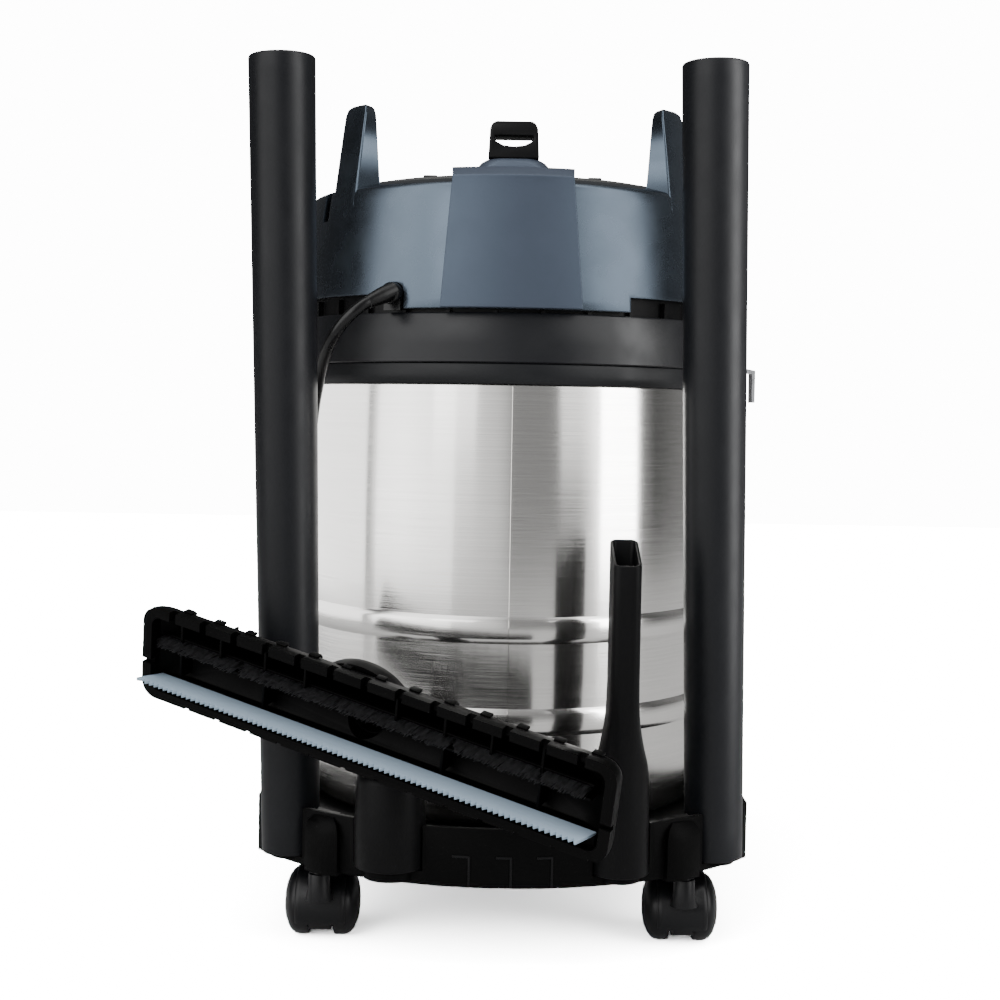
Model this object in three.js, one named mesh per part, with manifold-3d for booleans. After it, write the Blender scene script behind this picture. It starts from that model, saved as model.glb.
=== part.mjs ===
// Shop vacuum: a steel drum on a castered dolly, with a lift-off motor head and its stored tools.
// Millimetres, +Z up. The rear of the machine, where the tools and the cord are, faces -Y.
// Heights are measured from the floor, and plan positions from the drum's axis. The drum's axis is
// then moved so that the origin lies on the floor below the middle of the whole machine's box.
import * as THREE from 'three';
import { mergeVertices } from 'three/addons/utils/BufferGeometryUtils.js';
import Module from 'manifold-3d';

const wasm = await Module();
wasm.setup();

// ---- Driving dimensions ----
const AXIS = { x: 27, y: 54.5 };
const GAP = 0.3;
const RAD = Math.PI / 180;

const DOLLY = { radius: 208, halfWidth: 165, bottom: 53, top: 90.5, deck: 75.2, deckRadius: 151, wall: 3.5 };
const BOSS = { ridgeX: 116.5, innerX: 106, outerX: 128.5, ridgeY: -180.5, top: 87 };
const CASTER = { x: 119.5, y: 162, trail: 25, wheelRadius: 22.3, hoodRadius: 24.4, hoodTop: 46.8 };
const WHEEL = { inner: 8, tread: 16.5, outer: 25 };
const DRUM = { radius: 149, wall: 1.4, bottom: 75.5, top: 368.9, beads: [146.5, 207.5], beadHalf: 8.5, beadOut: 2 };
const BAND = { inner: 143, outer: 151, bottom: 369.3, top: 382.7 };
const COLLAR = { radius: 152, bottom: 383.1, top: 415.8, plate: 404 };
const COVER = { bottom: 418.1, notch: 427.9, shoulder: 500.4, seat: 502.4, seatRadius: 131.5, wall: 3.2 };
const CAP = { radius: 130.9, bottom: 502.8, top: 512 };
const NOTCH = { from: 30.7, to: 332.7 };
const HORN = { thick: 13, tip: 558 };
const PANEL = { bottom: 418.4, top: 504.5, bevelTop: 511, halfBottom: 46.8, halfTop: 40, proud: 4.8 };
const LOOP = { half: 17, bottom: 519.4, top: 544, y: -111, depth: 22 };
const HANDLE = { half: 61, y: 6, z: 521, reach: 84, bar: 5.2 };
const INLET = { z: 300, bore: 26, tube: 30, flange: 42, end: 199 };
const SWITCH = { half: 24, bottom: 438, top: 482, front: 167, pocketHalf: 9.4, pocketBack: 158.4 };
const FAN = { housing: 66, top: 440, disc: 58, blade: 56, hub: 12 };
const MOTOR = { radius: 46, bottom: 440.3, top: 484, boss: 16, bossTop: 491, shaft: 3 };
const CAGE = { outer: 59, wall: 3, bottom: 262, flange: 72, window: 30, ribs: 3 };
const FILTER = { inner: 60, outer: 88, bottom: 262.6, top: 392, plate: 90 };
const FLOAT = { radius: 35, z: 301 };
const LATCH = { x: 158, z: 402, half: 9, pin: 2 };
const WAND = { x: 140.7, y: -143.2, bottom: 57.4, top: 578.5, lean: 1.19, foot: 19.2, head: 21.8, wall: 2.4 };
const CREVICE = { x: 74.6, y: -190, bottom: 59.6, radius: 18.8, tipFar: 271, tipNear: 257 };
const NECK = { x: -71.8, y: -190, bottom: 61.8, top: 121, radius: 23 };
const NOZZLE = { x: -86.9, y: -242.1, z: 160.1, yaw: -25.72, tilt: 12.01, pitch: 12.89, half: 167, halfHeight: 31.8 };
const SWIVEL = { u: -11, v: -4.4, back: -29, hump: 31, bore: 14.5 };
const GLAND = { angle: -30.2, radius: 157, z: 428, ring: 7.2, leave: -60, drop: 25, relief: 14 };
const CORD = { radius: 4, coilX: 10, coilY: 318, coilMid: 48, coilHalf: 17, coilBottom: 1.4, coilTop: 26.6 };

// ---- Colours ----
const material = (color, roughness, metalness = 0) =>
  new THREE.MeshStandardMaterial({ color, roughness, metalness });
const MATERIALS = {
  steel: material(0xb9b8b5, 0.3, 1),
  blackPlastic: material(0x17181a, 0.5),
  softBlack: material(0x1f2023, 0.65),
  collarBlack: material(0x2b2d31, 0.5),
  coverGrey: material(0x66788f, 0.38),
  capGrey: material(0x74839a, 0.4),
  wheelGrey: material(0x202124, 0.55),
  rubber: material(0x101010, 0.85),
  brush: material(0x5c5d5f, 0.9),
  squeegee: material(0xc9dbe6, 0.4),
  zinc: material(0x9a9ca0, 0.35, 1),
  motor: material(0x3b3d40, 0.5, 0.6),
  filter: material(0xe3dfd2, 0.95),
  cordBlack: material(0x0f1011, 0.45),
  brass: material(0xb59a55, 0.35, 1),
};

// ---- Solid helpers ----
const cleaned = (geometry) => {
  const plain = geometry.clone();
  plain.deleteAttribute('normal');
  plain.deleteAttribute('uv');
  const merged = mergeVertices(plain, 1e-4);
  const index = merged.index.array;
  const kept = [];
  for (let i = 0; i < index.length; i += 3) {
    const [a, b, c] = [index[i], index[i + 1], index[i + 2]];
    if (a !== b && b !== c && a !== c) kept.push(a, b, c);
  }
  merged.setIndex(kept);
  return merged;
};

const toSolid = (geometry) => {
  const plain = cleaned(geometry);
  return new wasm.Manifold(new wasm.Mesh({
    numProp: 3,
    vertProperties: new Float32Array(plain.attributes.position.array),
    triVerts: new Uint32Array(plain.index.array),
  }));
};

const toGeometry = (solid) => {
  const mesh = solid.getMesh();
  const geometry = new THREE.BufferGeometry();
  geometry.setAttribute('position', new THREE.BufferAttribute(new Float32Array(mesh.vertProperties), 3));
  geometry.setIndex(new THREE.BufferAttribute(new Uint32Array(mesh.triVerts), 1));
  geometry.computeVertexNormals();
  return geometry;
};

const union = (...geometries) => toGeometry(geometries.map(toSolid).reduce((all, next) => all.add(next)));
const cut = (geometry, ...tools) =>
  toGeometry(tools.map(toSolid).reduce((rest, tool) => rest.subtract(tool), toSolid(geometry)));
const common = (a, b) => toGeometry(toSolid(a).intersect(toSolid(b)));

// A turned shape about Z from [radius, height] pairs, listed anticlockwise: outward, up, inward.
const turned = (pairs, segments = 30) => {
  const points = pairs.map(([r, z]) => new THREE.Vector2(r, z));
  if (pairs[0][0] > 0 || pairs[pairs.length - 1][0] > 0) points.push(points[0].clone());
  return new THREE.LatheGeometry(points, segments).rotateX(Math.PI / 2);
};

const disc = (radius, z0, z1, segments = 24) => turned([[0, z0], [radius, z0], [radius, z1], [0, z1]], segments);
const ring = (inner, outer, z0, z1, segments = 30) =>
  turned([[inner, z0], [outer, z0], [outer, z1], [inner, z1]], segments);
const block = (x0, x1, y0, y1, z0, z1) => new THREE.BoxGeometry(x1 - x0, y1 - y0, z1 - z0)
  .translate((x0 + x1) / 2, (y0 + y1) / 2, (z0 + z1) / 2);
const moved = (geometry, x, y, z = 0) => geometry.clone().translate(x, y, z);

// A shape turned about Z, laid so that its axis runs along +X or +Y.
const alongX = (geometry) => geometry.clone().rotateY(Math.PI / 2);
const alongY = (geometry) => geometry.clone().rotateX(-Math.PI / 2);

// A point at a radius and at an angle from the rear, positive towards +X.
const polar = (radius, degrees) => [radius * Math.sin(degrees * RAD), -radius * Math.cos(degrees * RAD)];

const plate = (outline, z0, z1, holes = []) => {
  const shape = new THREE.Shape(outline.map(([x, y]) => new THREE.Vector2(x, y)));
  for (const hole of holes) shape.holes.push(new THREE.Path(hole.map(([x, y]) => new THREE.Vector2(x, y))));
  return new THREE.ExtrudeGeometry(shape, { depth: z1 - z0, bevelEnabled: false }).translate(0, 0, z0);
};

const arc = (radius, from, to, steps) =>
  Array.from({ length: steps + 1 }, (_, i) => polar(radius, from + (to - from) * i / steps));

// A ring sector between two radii and two angles from the rear.
const sector = (inner, outer, from, to, z0, z1, steps = 6) =>
  plate([...arc(outer, from, to, steps), ...arc(inner, to, from, steps)], z0, z1);

// A closed body through rings of [x, y, z] points, each ring anticlockwise seen from above.
const loft = (rings) => {
  const count = rings[0].length;
  const points = rings.flat();
  const index = [];
  for (let level = 0; level < rings.length - 1; level += 1) {
    for (let i = 0; i < count; i += 1) {
      const a = level * count + i;
      const b = level * count + (i + 1) % count;
      index.push(a, b, b + count, a, b + count, a + count);
    }
  }
  const capTriangles = (ringPoints) => THREE.ShapeUtils.triangulateShape(
    ringPoints.map(([x, y]) => new THREE.Vector2(x, y)), []);
  const top = (rings.length - 1) * count;
  for (const [a, b, c] of capTriangles(rings[0])) index.push(a, c, b);
  for (const [a, b, c] of capTriangles(rings[rings.length - 1])) index.push(top + a, top + b, top + c);
  const geometry = new THREE.BufferGeometry();
  geometry.setAttribute('position', new THREE.Float32BufferAttribute(points.flat(), 3));
  geometry.setIndex(index);
  return geometry;
};

// A rounded rectangle's outline, anticlockwise, with `steps` points on each corner's arc.
const roundedRectangle = (halfX, halfY, radius, steps = 3, x = 0, y = 0) => {
  const points = [];
  for (const [sx, sy, start] of [[1, 1, 0], [-1, 1, 90], [-1, -1, 180], [1, -1, 270]]) {
    for (let i = 0; i <= steps; i += 1) {
      const angle = (start + 90 * i / steps) * RAD;
      points.push([
        x + sx * (halfX - radius) + radius * Math.cos(angle),
        y + sy * (halfY - radius) + radius * Math.sin(angle),
      ]);
    }
  }
  return points;
};

// A round bar or pipe along a smooth curve through [x, y, z] points.
const tube = (points, radius, sides, steps, bore = 0) => {
  const circle = (r) => Array.from({ length: sides }, (_, i) => {
    const angle = 2 * Math.PI * i / sides;
    return new THREE.Vector2(r * Math.cos(angle), r * Math.sin(angle));
  });
  const shape = new THREE.Shape(circle(radius));
  if (bore > 0) shape.holes.push(new THREE.Path(circle(bore)));
  const path = new THREE.CatmullRomCurve3(points.map((p) => new THREE.Vector3(...p)), false, 'centripetal');
  return new THREE.ExtrudeGeometry(shape, { steps, bevelEnabled: false, extrudePath: path });
};

// ---- The machine and its nodes ----
const machine = new THREE.Group();
machine.position.set(AXIS.x, AXIS.y, 0);

const add = (name, geometry, finish, parent = machine) => {
  const mesh = new THREE.Mesh(cleaned(geometry), finish);
  mesh.name = name;
  parent.add(mesh);
  return mesh;
};

// ---- Dolly ----
const clippedCircle = (radius, halfWidth, steps = 20) => {
  const corner = Math.asin(halfWidth / radius) / RAD;
  return [...arc(radius, -corner, corner, steps), ...arc(radius, 180 - corner, 180 + corner, steps)];
};

const bossOutline = (side, end) => {
  const outline = [
    [BOSS.innerX - 6, -168], [BOSS.innerX, -183.5], [BOSS.ridgeX, BOSS.ridgeY], [BOSS.outerX, -169.5],
    [BOSS.outerX - 2, -156],
  ].map(([x, y]) => [side * x, -end * y]);
  return side * end < 0 ? outline : outline.reverse();
};

const makeDolly = () => {
  const { radius, halfWidth, bottom, top, deck, deckRadius, wall } = DOLLY;
  const slab = plate(clippedCircle(radius, halfWidth), bottom, top);
  const dish = common(
    turned([[0, deck], [deckRadius, deck], [radius - 2.5, top - 0.5], [radius - 2.5, top + 9], [0, top + 9]]),
    block(-halfWidth + wall, halfWidth - wall, -radius, radius, deck - 1, top + 20));
  const underside = disc(160, bottom - 1, bottom + 17, 28);
  const bosses = [-1, 1].flatMap((side) => [-1, 1].map(
    (end) => plate(bossOutline(side, end), bottom - 1.2, BOSS.top)));
  const stemBores = [-1, 1].flatMap((side) => [-1, 1].map(
    (end) => moved(disc(5, bottom - 3, bottom + 21, 12), side * CASTER.x, end * CASTER.y)));
  const pockets = [
    ...[-1, 1].map((side) => moved(disc(20.8, WAND.bottom - GAP, 110, 20), side * WAND.x, WAND.y)),
    moved(disc(24.4, NECK.bottom - GAP, 110, 20), NECK.x, NECK.y),
    moved(disc(20.2, CREVICE.bottom - GAP, 110, 20), CREVICE.x, CREVICE.y),
  ];
  const body = cut(union(cut(slab, dish, underside), ...bosses), ...stemBores, ...pockets);
  const pegs = [
    ...[-1, 1].map((side) => moved(disc(13.5, bottom + 2, 112, 14), side * WAND.x, WAND.y)),
    moved(disc(17, bottom + 2, 108, 14), NECK.x, NECK.y),
    moved(disc(13, bottom + 2, 106, 14), CREVICE.x, CREVICE.y),
  ];
  return union(body, ...pegs);
};
add('base_dolly', makeDolly(), MATERIALS.blackPlastic);

// ---- Casters: a hooded twin-wheel unit that trails behind its stem ----
const makeHood = () => {
  const { trail, wheelRadius, hoodRadius, hoodTop } = CASTER;
  const clear = wheelRadius + 0.6;
  const arcPoint = (radius, degrees) => [
    trail + radius * Math.cos(degrees * RAD), wheelRadius + radius * Math.sin(degrees * RAD)];
  const sweep = (radius, from, to) => Array.from({ length: 8 }, (_, i) => arcPoint(radius, from + (to - from) * i / 7));
  const sideways = (outline, half) => plate(outline.map(([y, z]) => [y, z]), -half, half)
    .rotateX(Math.PI / 2).rotateZ(Math.PI / 2);
  const shield = sideways([...sweep(hoodRadius, 20, 205), ...sweep(clear, 205, 20)], WHEEL.tread);
  const webFloor = Math.asin((8 - wheelRadius) / (clear + 1)) / RAD;
  const web = sideways(sweep(clear + 1, webFloor, 180 - webFloor), WHEEL.inner - 0.6);
  const neck = disc(7, 32, hoodTop + 1.5, 12);
  const stem = disc(4.6, 40, DOLLY.bottom + 19, 12);
  const wheelRoom = [-1, 1].map((side) => moved(
    alongX(disc(clear, WHEEL.inner - 0.6, WHEEL.tread + 1, 14).rotateY(side < 0 ? Math.PI : 0)),
    0, trail, wheelRadius));
  const axleBore = moved(alongX(disc(3.2, -20, 20, 12)), 0, trail, wheelRadius);
  return cut(union(shield, web, neck, stem), ...wheelRoom, axleBore);
};

const makeWheel = (side) => {
  const { inner, tread, outer } = WHEEL;
  const radius = CASTER.wheelRadius;
  const profile = [
    [3.2, inner], [radius, inner], [radius, tread], [radius - 3, tread + 4.2], [radius - 10, outer - 1.2],
    [0, outer], [0, tread], [3.2, tread],
  ];
  const wheel = new THREE.LatheGeometry([...profile, profile[0]].map(([r, z]) => new THREE.Vector2(r, z)), 20)
    .rotateX(Math.PI / 2);
  const turnedOut = alongX(side < 0 ? wheel.rotateY(Math.PI) : wheel);
  return moved(turnedOut, 0, CASTER.trail, radius);
};

for (const [place, side, end] of [
  ['rear_left', -1, -1], ['rear_right', 1, -1], ['front_left', -1, 1], ['front_right', 1, 1],
]) {
  const caster = new THREE.Group();
  caster.position.set(side * CASTER.x, end * CASTER.y, 0);
  machine.add(caster);
  add(`caster_${place}_hood`, makeHood(), MATERIALS.softBlack, caster);
  const axle = moved(alongX(disc(2.9, -WHEEL.tread + GAP, WHEEL.tread - GAP, 12)),
    0, CASTER.trail, CASTER.wheelRadius);
  add(`caster_${place}_axle`, axle, MATERIALS.zinc, caster);
  add(`caster_${place}_wheel_a`, makeWheel(-1), MATERIALS.wheelGrey, caster);
  add(`caster_${place}_wheel_b`, makeWheel(1), MATERIALS.wheelGrey, caster);
}

// ---- Drum, its rim band and the hose inlet ----
const makeDrum = () => {
  const { radius, wall, bottom, top, beads, beadHalf, beadOut } = DRUM;
  const beadPoints = beads.flatMap((z) => [
    [radius, z - beadHalf], [radius + beadOut, z - beadHalf + 3],
    [radius + beadOut, z + beadHalf - 3], [radius, z + beadHalf],
  ]);
  const shell = turned([
    [0, bottom], [radius - 9, bottom], [radius - 2.6, bottom + 2.6], [radius, bottom + 9], ...beadPoints,
    [radius, top], [radius - wall, top], [radius - wall, bottom + 9.8], [radius - 4.2, bottom + 4],
    [radius - 9.6, bottom + wall], [0, bottom + wall],
  ]);
  return cut(shell, moved(alongY(disc(INLET.tube + GAP, 100, 170, 28)), 0, 0, INLET.z));
};
add('drum', makeDrum(), MATERIALS.steel);
add('drum_band', turned([
  [BAND.inner, BAND.bottom], [BAND.outer, BAND.bottom], [BAND.outer, BAND.top - 1], [BAND.outer - 1, BAND.top],
  [BAND.inner, BAND.top],
]), MATERIALS.blackPlastic);

const makeInlet = () => {
  const flange = cut(alongY(disc(INLET.flange, 120, 157)).translate(0, 0, INLET.z),
    disc(DRUM.radius + GAP, INLET.z - 60, INLET.z + 60, 30));
  const pipe = alongY(turned([
    [0, 126], [INLET.tube, 126], [INLET.tube, 190], [INLET.tube + 3, 192], [INLET.tube + 3, INLET.end],
    [0, INLET.end],
  ], 24)).translate(0, 0, INLET.z);
  const bore = alongY(disc(INLET.bore, 100, 230)).translate(0, 0, INLET.z);
  return cut(union(flange, pipe), bore);
};
add('hose_inlet', makeInlet(), MATERIALS.blackPlastic);

for (const [place, side] of [['left', -1], ['right', 1]]) {
  const [x0, x1] = [BAND.outer + GAP, BAND.outer + 5.5].map((x) => side * x).sort((a, b) => a - b);
  add(`latch_keeper_${place}`, block(x0, x1, -13, 13, BAND.bottom + 1, BAND.top - 2), MATERIALS.zinc);
}

// ---- Motor head ----
add('head_collar', turned([
  [33, COLLAR.plate - 4], [137, COLLAR.plate - 4], [137, 373], [141.5, 373], [141.5, 386], [149.3, 386],
  [149.3, COLLAR.bottom], [COLLAR.radius, COLLAR.bottom], [COLLAR.radius, COLLAR.top], [149, COLLAR.top],
  [149, 390], [141.5, 390], [141.5, COLLAR.plate], [33, COLLAR.plate],
]), MATERIALS.collarBlack);
add('head_seal', ring(142.4, 148.6, BAND.top + GAP, 386 - GAP), MATERIALS.rubber);
add('exhaust_ring', ring(143.6, 147, 390.3, 433), MATERIALS.blackPlastic);

// The cover's outer wall radius at a height.
const coverRadius = (z) => {
  const t = (z - COVER.bottom) / (COVER.shoulder - COVER.bottom);
  return 155 - 4.6 * t - 4 * t * t;
};
const wallHeights = [COVER.bottom, 440, 462, 482, COVER.shoulder];

const hornRings = (side) => {
  const stations = [
    [470, 57.8, 36.6, 151.2], [500, 57.2, 36.9, 146.6], [530, 54.6, 39.3, 144.2], [549, 52.6, 41.2, 142.4],
    [556, 51.2, 42.6, 141.6], [HORN.tip, 49.2, 44.4, 141],
  ];
  return stations.map(([z, outerAngle, innerAngle, radius]) => {
    const [start, end] = side < 0 ? [-outerAngle, -innerAngle] : [innerAngle, outerAngle];
    const inside = radius - (z > 550 ? HORN.thick - 3 : HORN.thick);
    return [...arc(radius, start, end, 4), ...arc(inside, end, start, 4)].map(([x, y]) => [x, y, z]);
  });
};

const makeCover = () => {
  const outer = wallHeights.map((z) => [coverRadius(z), z]);
  const inner = wallHeights.slice(0, -1).reverse().map((z) => [coverRadius(z) - COVER.wall, z]);
  const shell = turned([
    [0, COVER.seat - 3.4], [coverRadius(490) - 18, COVER.seat - 3.4], [coverRadius(495) - COVER.wall, 494],
    ...inner, ...outer, [134.5, 504.6], [COVER.seatRadius, 505.4], [COVER.seatRadius, COVER.seat], [0, COVER.seat],
  ], 36);
  const notch = sector(140, 170, NOTCH.from, NOTCH.to, 405, COVER.notch, 16);
  const glandRoom = moved(disc(GLAND.ring + 0.6, -12, 12, 20).rotateX(Math.PI / 2).rotateZ(GLAND.angle * RAD),
    ...polar(152, GLAND.angle), GLAND.z);
  const slots = [-1, 1].map((side) => {
    const [from, to] = side < 0 ? [-62.4, -58.8] : [58.8, 62.4];
    return sector(138, 160, from, to, 480, 520, 2);
  });
  return cut(union(shell, ...[-1, 1].map((side) => loft(hornRings(side)))), notch, glandRoom, ...slots);
};
add('head_cover', makeCover(), MATERIALS.coverGrey);

const makePanel = () => {
  const rings = [PANEL.bottom, ...wallHeights.slice(1, -1), PANEL.top].map((z) => {
    const t = (z - PANEL.bottom) / (PANEL.top - PANEL.bottom);
    const half = PANEL.halfBottom + (PANEL.halfTop - PANEL.halfBottom) * t;
    const radius = coverRadius(Math.min(z, COVER.shoulder)) + PANEL.proud;
    const inner = z < 490 ? coverRadius(z) + 0.6 : 147.6;
    const spread = Math.asin(half / radius) / RAD;
    return [...arc(radius, -spread, spread, 8), ...arc(inner, spread, -spread, 8)].map(([x, y]) => [x, y, z]);
  });
  const spread = Math.asin(PANEL.halfTop / 141) / RAD;
  rings.push([...arc(142, -spread, spread, 8), ...arc(134, spread, -spread, 8)]
    .map(([x, y]) => [x, y, PANEL.bevelTop]));
  return loft(rings);
};
const coverEnvelope = turned([
  [0, 400], [coverRadius(COVER.bottom) + GAP, 400],
  ...wallHeights.map((z) => [coverRadius(z) + GAP, z]), [134.5, 505], [131.4, 506.2], [131.4, 530], [0, 530],
], 36);
add('rear_panel', cut(makePanel(), coverEnvelope), MATERIALS.coverGrey);

const makeCap = () => {
  const dome = turned([
    [0, CAP.bottom], [CAP.radius, CAP.bottom], [CAP.radius, 505.8], [115, 509.7], [100, 511.4], [92, CAP.top],
    [0, CAP.top],
  ], 36);
  const padRing = (halfX, front, back, z) => roundedRectangle(halfX, (back - front) / 2, 8, 3, 0, (front + back) / 2)
    .map(([x, y]) => [x, y, z]);
  const pad = loft([
    padRing(27, -130, -86, 506), padRing(25, -128, -88, 511), padRing(19, -124, -92, LOOP.bottom - GAP),
  ]);
  const lugs = [-49, 49].map((x) => block(x - 5, x + 5, HANDLE.y - 8, HANDLE.y + 8, 510, 527));
  const pinBore = moved(alongX(disc(3.3, -70, 70, 12)), 0, HANDLE.y, HANDLE.z);
  return cut(union(dome, pad, ...lugs), pinBore);
};
add('top_cap', makeCap(), MATERIALS.capGrey);

const makeLoop = () => {
  const { half, bottom, top, y, depth } = LOOP;
  const outline = [
    [-half, bottom], [half, bottom], [half - 1, top - 6], [half - 3.5, top - 1], [half - 6, top],
    [-half + 6, top], [-half + 3.5, top - 1], [-half + 1, top - 6],
  ];
  const hole = [
    [-12.5, top - 9.5], [12.5, top - 9.5], [12.5, 530.6], [8, 528.6], [0, 527.4], [-8, 528.6], [-12.5, 530.6],
  ];
  return plate(outline, -depth / 2, depth / 2, [hole]).rotateX(Math.PI / 2).translate(0, y, 0);
};
add('rear_loop', makeLoop(), MATERIALS.blackPlastic);

// ---- Folding carry handle, lying forward on the cap ----
const makeHandle = () => {
  const { half, y, z, reach, bar } = HANDLE;
  const bend = 22;
  const side = (s) => [[s * half, y + 4, z], [s * half, y + reach - bend, z], [s * (half - 5), y + reach - 6, z],
    [s * (half - bend), y + reach, z]];
  const bail = tube([...side(-1), ...side(1).reverse()], bar, 8, 18);
  const eyes = [-1, 1].map((s) => moved(alongX(disc(7.6, half - 5, half + 5, 14)), s > 0 ? 0 : -2 * half, y, z));
  const grip = moved(alongX(disc(8, -34, 34, 16)), 0, y + reach, z);
  const pinBore = moved(alongX(disc(3.3, -90, 90, 12)), 0, y, z);
  return cut(union(bail, grip, ...eyes), pinBore);
};
add('carry_handle', makeHandle(), MATERIALS.blackPlastic);
add('handle_rod', moved(alongX(disc(2.9, -67, 67, 12)), 0, HANDLE.y, HANDLE.z), MATERIALS.zinc);

// ---- Power switch on the front of the head ----
const switchHousing = cut(
  block(-SWITCH.half, SWITCH.half, 138, SWITCH.front, SWITCH.bottom, SWITCH.top), coverEnvelope,
  block(-SWITCH.pocketHalf, SWITCH.pocketHalf, SWITCH.pocketBack, 190, SWITCH.bottom + 8, SWITCH.top - 8));
add('switch_housing', switchHousing, MATERIALS.blackPlastic);
const rockerOutline = [
  [166.4, 448], [168.2, 454], [167, 460], [169, 466], [166.6, 472], [159.6, 470.6], [159.6, 449.4],
];
const rocker = plate(rockerOutline, 0.8 - SWITCH.pocketHalf, SWITCH.pocketHalf - 0.8).rotateX(Math.PI / 2).rotateZ(Math.PI / 2);
add('power_switch', rocker, MATERIALS.rubber);

// ---- Motor, fan and shaft ----
add('fan_housing', turned([
  [30, COLLAR.plate + GAP], [FAN.housing, COLLAR.plate + GAP], [FAN.housing, FAN.top], [6, FAN.top],
  [6, FAN.top - 2], [FAN.housing - 2, FAN.top - 2], [FAN.housing - 2, 406.4], [30, 406.4],
], 22), MATERIALS.zinc);
const motorBody = union(disc(MOTOR.radius, MOTOR.bottom, MOTOR.top), disc(MOTOR.boss, 480, MOTOR.bossTop, 20));
add('motor_can', cut(motorBody, disc(MOTOR.shaft + 1.4, 430, 480, 12)), MATERIALS.motor);
const bladeCount = 7;
const blades = Array.from({ length: bladeCount }, (_, i) =>
  block(FAN.hub + 2, FAN.blade, -0.9, 0.9, 411, 428.5).rotateZ(2 * Math.PI * i / bladeCount));
const fan = union(disc(FAN.disc, 427.5, 430), disc(FAN.hub, 410, 434, 20), ...blades);
add('impeller', cut(fan, disc(MOTOR.shaft + 0.4, 400, 440, 12)), MATERIALS.zinc);
add('motor_shaft', disc(MOTOR.shaft, 408, 476, 12), MATERIALS.zinc);

// ---- Filter cage, cartridge and float under the head ----
const makeCage = () => {
  const { outer, wall, bottom, flange, window, ribs } = CAGE;
  const top = COLLAR.plate - 4 - GAP;
  const cage = turned([
    [14, bottom], [outer, bottom], [outer, top - 4.7], [flange, top - 4.7], [flange, top], [outer - wall, top],
    [outer - wall, bottom + wall], [14, bottom + wall],
  ], 20);
  const windows = Array.from({ length: ribs }, (_, i) =>
    block(-80, 80, -window / 2, window / 2, bottom + 16, 382).rotateZ(Math.PI * i / ribs));
  return cut(cage, ...windows);
};
add('filter_cage', makeCage(), MATERIALS.blackPlastic);
add('cartridge_filter', ring(FILTER.inner, FILTER.outer, FILTER.bottom, FILTER.top, 32), MATERIALS.filter);
add('filter_retainer', union(disc(FILTER.plate, 256, 261.7, 28), disc(15, 246, 257, 20),
  block(-22, 22, -3, 3, 244, 257)), MATERIALS.blackPlastic);
add('float_ball', new THREE.SphereGeometry(FLOAT.radius, 16, 8).rotateX(Math.PI / 2).translate(0, 0, FLOAT.z),
  MATERIALS.softBlack);

// ---- Side latches, hinged on the collar ----
for (const [place, side] of [['left', -1], ['right', 1]]) {
  const outline = [
    [153, 398], [158, 394], [162, 394], [172, 386.5], [181.8, 384.6], [181.8, 361], [179.6, 361], [179.4, 382.4],
    [171, 384.2], [161, 390.5], [159.6, 390.5], [159.6, 367], [157.4, 367], [157.4, 390], [153, 392],
  ].reverse();
  const { x, z, half, pin } = LATCH;
  const lever = plate(outline, -half, half).rotateX(Math.PI / 2);
  const eye = alongY(disc(5, -half, half, 16)).translate(x, 0, z);
  const neck = block(x - 2, x + 4, -half, half, z - 9, z);
  const latch = cut(union(lever, eye, neck), alongY(disc(pin + 0.4, -20, 20, 12)).translate(x, 0, z));
  add(`latch_${place}`, side > 0 ? latch : latch.clone().rotateZ(Math.PI), MATERIALS.zinc);
  const cheeks = [-1, 1].map((end) => block(140, x + 5, end * 11.95 - 2.55, end * 11.95 + 2.55, z - 6, z + 5.5));
  const bracket = cut(union(...cheeks), disc(COLLAR.radius + GAP, 380, 420, 48));
  const fitting = union(bracket, alongY(disc(pin, -14, 14, 12)).translate(x, 0, z));
  add(`latch_pivot_${place}`, side > 0 ? fitting : fitting.clone().rotateZ(Math.PI), MATERIALS.zinc);
}

// ---- Stored wands ----
const makeWand = () => {
  const { foot, head, wall } = WAND;
  const length = WAND.top - WAND.bottom;
  return turned([
    [foot - wall, 0], [foot - 1, 0], [foot, 1], [head, length - 1.5], [head - 1, length], [head - wall, length],
  ], 20);
};
for (const [place, side] of [['left', -1], ['right', 1]]) {
  const wand = add(`wand_${place}`, makeWand(), MATERIALS.softBlack);
  wand.position.set(side * WAND.x, WAND.y, WAND.bottom + GAP + 0.2);
  wand.rotation.y = -WAND.lean * RAD;
}

// ---- Crevice tool: a round socket that flattens to a slanted blade ----
const creviceRings = (inset) => {
  const stations = [
    [CREVICE.bottom, CREVICE.radius, CREVICE.radius, 18.7], [122, 17.8, 17.8, 17.7], [140, 14, 18.2, 13],
    [158, 10.4, 20, 8], [168, 9.2, 21, 5.5], [CREVICE.tipFar, 9, 21, 5],
  ];
  const slant = (CREVICE.tipFar - CREVICE.tipNear) / (2 * 21);
  return stations.map(([z, halfX, halfY, corner], level) => roundedRectangle(
    halfX - inset, halfY - inset, Math.max(corner - inset, 1.2), 3, CREVICE.x, CREVICE.y)
    .map(([x, y]) => [x, y, level === stations.length - 1 ? z - slant * (CREVICE.y + 21 - y) : z]));
};
const creviceBore = creviceRings(2.1);
const shiftRing = (points, dz) => points.map(([x, y, z]) => [x, y, z + dz]);
creviceBore[0] = shiftRing(creviceBore[0], -3);
creviceBore[creviceBore.length - 1] = shiftRing(creviceBore[creviceBore.length - 1], 3);
add('crevice_tool', cut(loft(creviceRings(0)), loft(creviceBore)), MATERIALS.softBlack);

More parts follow.
